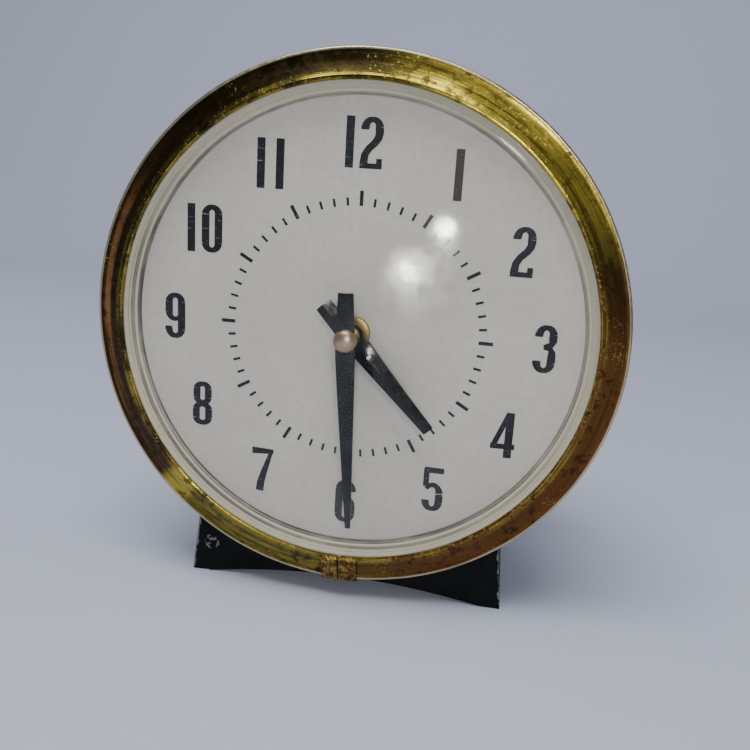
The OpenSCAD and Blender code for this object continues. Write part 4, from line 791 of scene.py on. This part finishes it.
def digit_strokes(digit):
    """The strokes of a tall narrow digit, 11 mm high, as (path, widths) pairs round its own centre."""
    side, top = 1.55, 5.5
    cap = top - THIN / 2
    hook = [(-side - 0.1, 2.75), (-side - 0.1, 3.5)]
    over = bend(0, 3.3, side, cap - 3.3, 180, 0)
    under = bend(0, -3.3, side, cap - 3.3, 360, 180)
    low_hook = [(-side - 0.1, -3.4), (-side - 0.1, -2.75)]
    if digit == 1:
        return [([(0, -top), (0, top)], [HEAVY, HEAVY])]
    if digit == 0:
        right, left = [(side, 3.3), (side, -3.3)], [(-side, -3.3), (-side, 3.3)]
        return [
            (right, [HEAVY] * 2),
            (left, [HEAVY] * 2),
            (over, [HEAVY, THIN, HEAVY]),
            (under, [HEAVY, THIN, HEAVY]),
        ]
    if digit == 2:
        neck = [
            (side, 3.3),
            (side + 0.05, 2.2),
            (side - 0.1, 1.2),
            (0.75, 0.1),
            (-0.6, -1.2),
            (-1.45, -2.6),
            (-side - 0.1, -4.6),
        ]
        base = [(-side - 1.0, -cap), (side + 0.9, -cap)]
        return [
            (hook, [1.7, HEAVY]),
            (over, [HEAVY, THIN, HEAVY]),
            (neck, [HEAVY, HEAVY, 1.7, 1.5, 1.6, HEAVY]),
            (base, [THIN, THIN]),
            ([(side + 0.25, -top), (side + 0.25, -3.3)], [1.3, 1.25]),
        ]
    if digit in (3, 5):
        rise = 1.0 if digit == 3 else 0.2
        lower = [(side, rise - 1.3), (side + 0.05, -1.6), (side, -3.3)]
        parts = [(lower, [1.5, HEAVY, HEAVY]), (under, [HEAVY, THIN, HEAVY]), (low_hook, [HEAVY, 1.7])]
        if digit == 3:
            parts += [(hook, [1.7, HEAVY]), (over, [HEAVY, THIN, HEAVY])]
            parts += [
                ([(side, 3.3), (side, 1.9), (side - 0.35, 1.0), (-0.35, 0.45)], [HEAVY, HEAVY, 1.4, 1.0])
            ]
            parts += [([(-0.35, 0.35), (side - 0.5, 0.2), (side, -0.8)], [0.9, 1.2, 1.6])]
        else:
            parts += [([(-2.25, cap - 0.05), (2.35, cap - 0.05)], [1.5, 1.35])]
            parts += [([(-1.75, top - 0.3), (-1.75, 0.75)], [1.35, 1.35])]
            parts += [(bend(-0.1, -0.9, side + 0.1, 2.1, 152, 0), [1.1, THIN, 1.3, HEAVY])]
        return parts
    if digit == 4:
        return [
            ([(1.05, top), (1.05, -top)], [HEAVY, HEAVY]),
            ([(0.75, top - 0.1), (-2.35, -2.6)], [1.2, 1.25]),
            ([(-3.05, -2.75), (2.55, -2.75)], [1.3, 1.3]),
        ]
    if digit in (6, 9):
        spin = -1 if digit == 9 else 1
        parts = [
            ([(-side, 3.3), (-side, -3.3)], [HEAVY, HEAVY]),
            (over, [HEAVY, THIN, HEAVY]),
            ([(side + 0.1, 3.5), (side + 0.1, 2.6)], [HEAVY, 1.7]),
            (under, [HEAVY, THIN, HEAVY]),
            ([(side, -3.3), (side, -0.9)], [HEAVY, HEAVY]),
            (bend(0.1, -0.9, side - 0.1, 1.7, 0, 150), [HEAVY, THIN, 0.9]),
        ]
        return [([Vector(p) * spin for p in path], widths) for path, widths in parts]
    if digit == 7:
        leg = [(2.1, cap - 0.3), (1.35, 2.2), (0.45, -0.6), (-0.25, -3.2), (-0.55, -top)]
        return [([(-2.6, cap), (2.75, cap)], [1.7, THIN]), (leg, [0.9, 1.25, 1.6, 1.85, 2.0])]
    loops = []
    for y, wide, tall in ((2.55, side - 0.12, 2.35), (-2.6, side + 0.02, 2.35)):
        for x in (-wide, wide):
            loops.append(([(x, y - tall + 1.2), (x, y + tall - 1.2)], [HEAVY - 0.1] * 2))
        loops.append((bend(0, y + tall - 1.2, wide, 1.2, 180, 0), [HEAVY - 0.1, THIN, HEAVY - 0.1]))
        loops.append((bend(0, y - tall + 1.2, wide, 1.2, 360, 180), [HEAVY - 0.1, THIN, HEAVY - 0.1]))
    return loops


def make_numerals():
    bm = bmesh.new()
    for hour in range(1, 13):
        radius = SIDE_NUMERAL_R if hour in (3, 9) else NUMERAL_R
        centre = ring_point(radius, 90 - 30 * hour).xy
        digits = [int(figure) for figure in str(hour)]
        for digit, shift in zip(digits, PAIR_SHIFTS.get(hour, (0.0,))):
            for layer, (path, widths) in enumerate(digit_strokes(digit)):
                stroke(bm, path, widths, centre + Vector((shift, 0)), INK_DEPTH + STROKE_STEP * layer)
    make_piece(bm, "printed_numerals", "clock_frame", "dial_ink", ("dial_numerals",))


# Hands: sheet folded along its middle, with square tails
def make_hand(name, node, body, degrees, hub_z, fall, reach, tail, widths, bore, hub_r, fold):
    """A hand that points so many degrees clockwise from twelve, and falls as it goes out.

    Its widths are those of its hub, its tip and its tail.
    """
    hub_w, tip_w, tail_w = widths
    behind = [-tail, -tail * 0.55, -hub_r * 0.75]
    ahead = [hub_r * 0.7, hub_r * 1.35] + [reach * k / 8 for k in range(2, 9)]
    bm = bmesh.new()
    for stations in (behind, ahead):
        rows = sheet_rows(bm, (-1, -0.5, 0, 0.5, 1), len(stations))
        for verts, s in zip(rows, stations):
            if s < 0:
                half = (hub_w + (tail_w - hub_w) * min(1.0, -s / tail)) / 2
            else:
                half = (hub_w + (tip_w - hub_w) * max(0.0, (s - reach * 0.12) / (reach * 0.88))) / 2
            z = hub_z + 0.05 - fall * max(0.0, (abs(s) - 4) / (reach - 4) if s > 0 else 0.0)
            ridge = fold * min(1.0, max(0.0, (abs(s) - hub_r) / 2.0)) * (0.15 + 0.85 * half / hub_w * 2)
            for v in verts:
                v.co = Vector((v.co.x * half, s, z + ridge * (1 - abs(v.co.x))))
    sheet = bmesh.ops.extrude_face_region(bm, geom=bm.faces[:])["geom"]
    bmesh.ops.translate(bm, vec=(0, 0, HAND_WALL), verts=verts_of(sheet))
    foot, top = hub_z + 0.05, hub_z + 0.45
    lathe(bm, [(bore, foot), (hub_r, foot), (hub_r + 0.1, hub_z + 0.2), (hub_r, top), (bore, top)], 48)
    bmesh.ops.rotate(
        bm, cent=(0, 0, 0), matrix=Matrix.Rotation(-math.radians(degrees), 3, "Z"), verts=bm.verts
    )
    make_piece(bm, name, body, "hand_black", (node,), crease=18)


def make_hands():
    minute_low, minute_high = clock_box("minute_hand")
    alarm_low, alarm_high = clock_box("alarm_hand")
    minute_z = minute_high.z - HUB_STEP
    hands = (
        {
            "name": "minute_blade",
            "node": "minute_hand",
            "body": "minute_group",
            "degrees": 177.7,
            "hub_z": minute_z,
            "fall": minute_z - minute_low.z,
            "reach": 46.9,
            "tail": 10.6,
            "widths": (4.4, 1.3, 3.4),
            "bore": 0.95,
            "hub_r": 2.5,
            "fold": 0.8,
        },
        {
            "name": "hour_blade",
            "node": "hour_hand",
            "body": "hour_group",
            "degrees": 136.4,
            "hub_z": clock_box("hour_hand")[0].z,
            "fall": 0.0,
            "reach": 28.0,
            "tail": 9.4,
            "widths": (4.8, 2.6, 3.9),
            "bore": 2.3,
            "hub_r": 3.1,
            "fold": 0.8,
        },
        {
            "name": "alarm_blade",
            "node": "alarm_hand",
            "body": "alarm_pointer",
            "degrees": 136.4,
            "hub_z": alarm_low.z,
            "fall": 0.0,
            "reach": 18.9,
            "tail": 0.1,
            "widths": (3.4, 1.2, 3.2),
            "bore": 3.1,
            "hub_r": 3.6,
            "fold": 0.3,
        },
    )
    for hand in hands:
        make_hand(**hand)
    make_hand_nut()
    z = alarm_high.z + 0.03
    ring = [(2.6, z), (3.9, z), (4.0, z + 0.15), (3.85, z + 0.5), (3.4, z + 0.62), (2.6, z + 0.62)]
    turned_piece(ring, 64, "alarm_hand_collet", "alarm_pointer", "bright_brass")
    make_centre_collar()


def make_hand_nut():
    low, high = clock_box("hand_nut")
    r, z, bore, deep = high.x, low.z, 0.95, low.z + 0.9
    outline = [(0, z + 1.68), (r * 0.3, z + 1.64), (r * 0.58, z + 1.46), (r * 0.8, z + 1.15)]
    outline += [(r * 0.93, z + 0.8), (r * 0.99, z + 0.5), (r, z + 0.38), (r * 0.97, z + 0.3)]
    outline += [(r * 0.97, z + 0.22), (r, z + 0.16), (r, z + 0.02), (bore, z + 0.02), (bore, deep), (0, deep)]
    labels = "hand_nut_dome", "minute_group", "nut_copper", ("hand_nut",)
    turned_piece(outline, 64, *labels, closed=False)


def make_centre_collar():
    low, high = clock_box("dial_grommet")
    r, bore = high.x, high.x - 1.1
    outline = [(bore, low.z), (bore, 0.34), (bore + 0.15, 0.46), (r - 0.35, 0.44), (r - 0.08, 0.32)]
    outline += [(r, 0.12), (r - 0.05, 0.06), (r - 0.7, 0.06), (r - 0.7, low.z)]
    turned_piece(outline, 64, "centre_collar", "clock_frame", "bright_brass", ("dial_grommet",))


# Back: cover with raised beads, winding keys, knobs and the stop button
def make_cover_beads():
    sunk = 0.1
    beads = (("cover_rim_bead", COVER_R - 5.4, 1.6, 0.55), ("cover_middle_bead", 36.5, 1.1, 0.4))
    for name, radius, width, height in beads:
        turns = [math.pi * i / 8 for i in range(9)]
        bead = [
            (radius + width * math.cos(turn), COVER_BACK + sunk - (height + sunk) * math.sin(turn))
            for turn in turns
        ]
        turned_piece(bead, 128, name, "clock_frame", "case_black")


def make_key(node, name):
    """A winding key: a sleeve, and a flat bow with rounded ends and a sunk panel on each side."""
    low, high = clock_box(node)
    middle = (low + high) / 2
    body = frame["nodes"][node]["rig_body"]
    half_wall, height, sunk = 0.8, 9.0, 0.28
    bm = bmesh.new()
    bmesh.ops.create_cube(bm, size=1.0)
    bmesh.ops.scale(bm, vec=(high.x - low.x, 2 * half_wall, height), verts=bm.verts)
    upright = [e for e in bm.edges if abs(e.verts[0].co.y - e.verts[1].co.y) > 0.5]
    bmesh.ops.bevel(bm, geom=upright, offset=3.6, segments=8, profile=0.5, affect="EDGES", material=-1)
    sides = [f for f in bm.faces if abs(f.normal.y) > 0.9]
    bmesh.ops.inset_region(bm, faces=sides, thickness=1.1, depth=0.0)
    for f in sides:
        bmesh.ops.translate(bm, vec=(0, math.copysign(sunk, -f.normal.y), 0), verts=f.verts)
    rim = [e for e in bm.edges if len(e.link_faces) == 2 and e.calc_face_angle(0) > 0.9]
    bmesh.ops.bevel(bm, geom=rim, offset=0.22, segments=2, profile=0.5, affect="EDGES", material=-1)
    bmesh.ops.translate(bm, vec=(0, 0, low.z + height / 2), verts=bm.verts)
    r, top = 3.55, high.z
    sleeve = [
        (2.0, top),
        (r - 0.25, top),
        (r, top - 0.25),
        (r, top - 2.2),
        (r - 0.2, top - 2.5),
        (r - 0.2, top - 3.4),
    ]
    sleeve += [
        (r, top - 3.7),
        (r, top - 5.2),
        (r - 0.7, top - 6.0),
        (0, top - 6.0),
        (0, top - 3.05),
        (2.0, top - 3.05),
    ]
    lathe(bm, sleeve, 48)
    bmesh.ops.translate(bm, vec=(middle.x, middle.y, 0), verts=bm.verts)
    make_piece(bm, name, body, "key_brass", (node,), crease=30)


def make_knob(node, name):
    """A setting knob with a coined edge, a dished end and a turned groove."""
    low, high = clock_box(node)
    middle = (low + high) / 2
    body = frame["nodes"][node]["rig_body"]
    r, front, back = (high.x - low.x) / 2, high.z, low.z
    steps, coin_depth = 96, 0.32
    outline = [
        (1.0, front), (r - 1.2, front), (r - 0.9, front - 0.3), (r - 0.9, front - 1.2), (r - 0.2, front - 1.6)
    ]
    outline += [
        (r, front - 1.9), (r, back + 0.5), (r - 0.35, back + 0.12), (r - 0.8, back), (r - 1.5, back + 0.06)
    ]
    outline += [(r - 2.0, back + 0.35), (0, back + 0.55), (0, back + 1.1), (1.0, back + 1.1)]
    bm = bmesh.new()
    lathe(bm, outline, steps)
    for v in bm.verts:
        out = v.co.xy.length
        if out > r - 0.1:
            turn = math.atan2(v.co.y, v.co.x) / (2 * math.pi) * steps
            if round(turn) % 3 == 0:
                v.co.xy *= (out - coin_depth) / out
    bmesh.ops.translate(bm, vec=(middle.x, middle.y, 0), verts=bm.verts)
    make_piece(bm, name, body, "key_brass", (node,), crease=28)


def make_stop_button():
    low, high = clock_box("stop_button")
    middle = (low + high) / 2
    r, back, front = (high.x - low.x) / 2, low.z, high.z
    shaft = 2.0
    outline = [
        (0, back),
        (r * 0.5, back + 0.08),
        (r * 0.85, back + 0.35),
        (r, back + 0.8),
        (r, back + 1.4),
        (r - 0.4, back + 1.9),
    ]
    outline += [
        (shaft, back + 2.1), (shaft, back + 7.0), (shaft, front - 0.3), (shaft - 0.3, front), (0, front)
    ]
    labels = "stop_plunger", "stop", "screw_steel", ("stop_button",)
    turned_piece(outline, 48, *labels, at=(middle.x, middle.y), closed=False)


make_bezel()
make_clip()
make_glass()
make_flange()
make_numerals()
make_hands()
make_cover_beads()
make_key("time_key", "time_key_bow")
make_key("alarm_key", "alarm_key_bow")
make_knob("time_set_knob", "time_knob_coined")
make_knob("alarm_set_knob", "alarm_knob_coined")
make_stop_button()
softened("case_shell", "case_drum", "case_black", 0.35)
softened("base_stand", "base_foot", "case_black", 0.4, CHIPPED_ENAMEL, 3)
softened("back_cover", "back_cover_disc", "case_black", 0.18)
softened("back_screws", "back_screws_rounded", "screw_steel", 0.12)
softened("base_screws", "base_screws_rounded", "screw_steel", 0.12)

# The CAD nodes that keep their shape take the finish of their slot
slot_of = {entry["node"]: entry["material_slot"] for entry in frame["record"]["subparts"]}
for name, node in frame["nodes"].items():
    if node.hide_render:
        continue
    node.data.materials.clear()
    node.data.materials.append(FINISHES[slot_of[name]])


# Table, backdrop, lights and camera
def make_stage():
    finish, tree, shader = new_finish("pale_seamless_paper")
    fibre = grain(tree, 900.0, 3.0, 0.6)
    colour = blend_colour(tree, fibre, (0.545, 0.585, 0.70), (0.585, 0.625, 0.745))
    tree.links.new(colour, shader.inputs["Base Color"])
    shader.inputs["Roughness"].default_value = 0.75
    tree.links.new(relief(tree, fibre, 0.03, 0.3), shader.inputs["Normal"])
    # a table that sweeps up into a wall, in metres
    front, back, sweep, wall_top, half_width = -1.5, 0.45, 0.35, 1.6, 1.6
    turns = [math.pi / 2 * i / 12 for i in range(1, 13)]
    curve = [(front, 0.0), (back, 0.0)]
    curve += [(back + sweep * math.sin(turn), sweep - sweep * math.cos(turn)) for turn in turns]
    curve += [(back + sweep, wall_top)]
    bm = bmesh.new()
    edges = edge_chain(bm, [(-half_width, y, z) for y, z in curve])[1]
    made = bmesh.ops.extrude_edge_only(bm, edges=edges)["geom"]
    bmesh.ops.translate(bm, vec=(2 * half_width, 0, 0), verts=verts_of(made))
    bmesh.ops.recalc_face_normals(bm, faces=bm.faces)
    mesh = bpy.data.meshes.new("seamless_backdrop")
    bm.to_mesh(mesh)
    bm.free()
    mesh.shade_smooth()
    mesh.materials.append(finish)
    backdrop = bpy.data.objects.new("seamless_backdrop", mesh)
    bpy.context.scene.collection.objects.link(backdrop)


def add_light(name, aim, distance, size, watts, tint, height=None):
    """A soft area light in a direction from the dial's centre, in the clock's own frame."""
    data = bpy.data.lights.new(name, "AREA")
    data.shape = "RECTANGLE" if height else "DISK"
    data.size = size
    if height:
        data.size_y = height
    data.energy = watts
    data.color = tint
    light = bpy.data.objects.new(name, data)
    bpy.context.scene.collection.objects.link(light)
    out = Vector((aim[0], -aim[2], aim[1])).normalized()
    light.location = DIAL_CENTRE + out * distance
    light.rotation_euler = out.to_track_quat("Z", "Y").to_euler()


def make_lights():
    world = bpy.data.worlds.new("dim_room")
    world.use_nodes = True
    sky = world.node_tree.nodes["Background"]
    sky.inputs["Color"].default_value = (0.84, 0.88, 1.0, 1)
    sky.inputs["Strength"].default_value = 0.30
    bpy.context.scene.world = world
    add_light("overhead_softbox", (-0.10, 0.95, 0.33), 1.0, 0.8, 8.2, (0.99, 0.99, 1.0), 0.45)
    add_light("near_lamp", (0.107, 0.152, 0.983), 0.75, 0.075, 0.9, (1.0, 0.98, 0.93))
    add_light("upper_lamp", (0.25, 0.36, 0.90), 0.75, 0.07, 1.0, (1.0, 0.97, 0.90))


def make_camera():
    data = bpy.data.cameras.new("clock_camera")
    data.lens = 38.9
    data.sensor_width = 36.0
    data.clip_start = 0.01
    camera = bpy.data.objects.new("clock_camera", data)
    bpy.context.scene.collection.objects.link(camera)
    target, distance = to_frame((5.47, -9.81, 0.0)), 0.18965
    yaw, pitch, roll = math.radians(8.2), math.radians(14.446), math.radians(3.59)
    back = Vector((math.sin(yaw) * math.cos(pitch), -math.cos(yaw) * math.cos(pitch), math.sin(pitch)))
    camera.location = target + back * distance
    aim = back.to_track_quat("Z", "Y") @ Quaternion((0, 0, 1), roll)
    camera.rotation_euler = aim.to_euler()
    bpy.context.scene.camera = camera


make_stage()
make_lights()
make_camera()
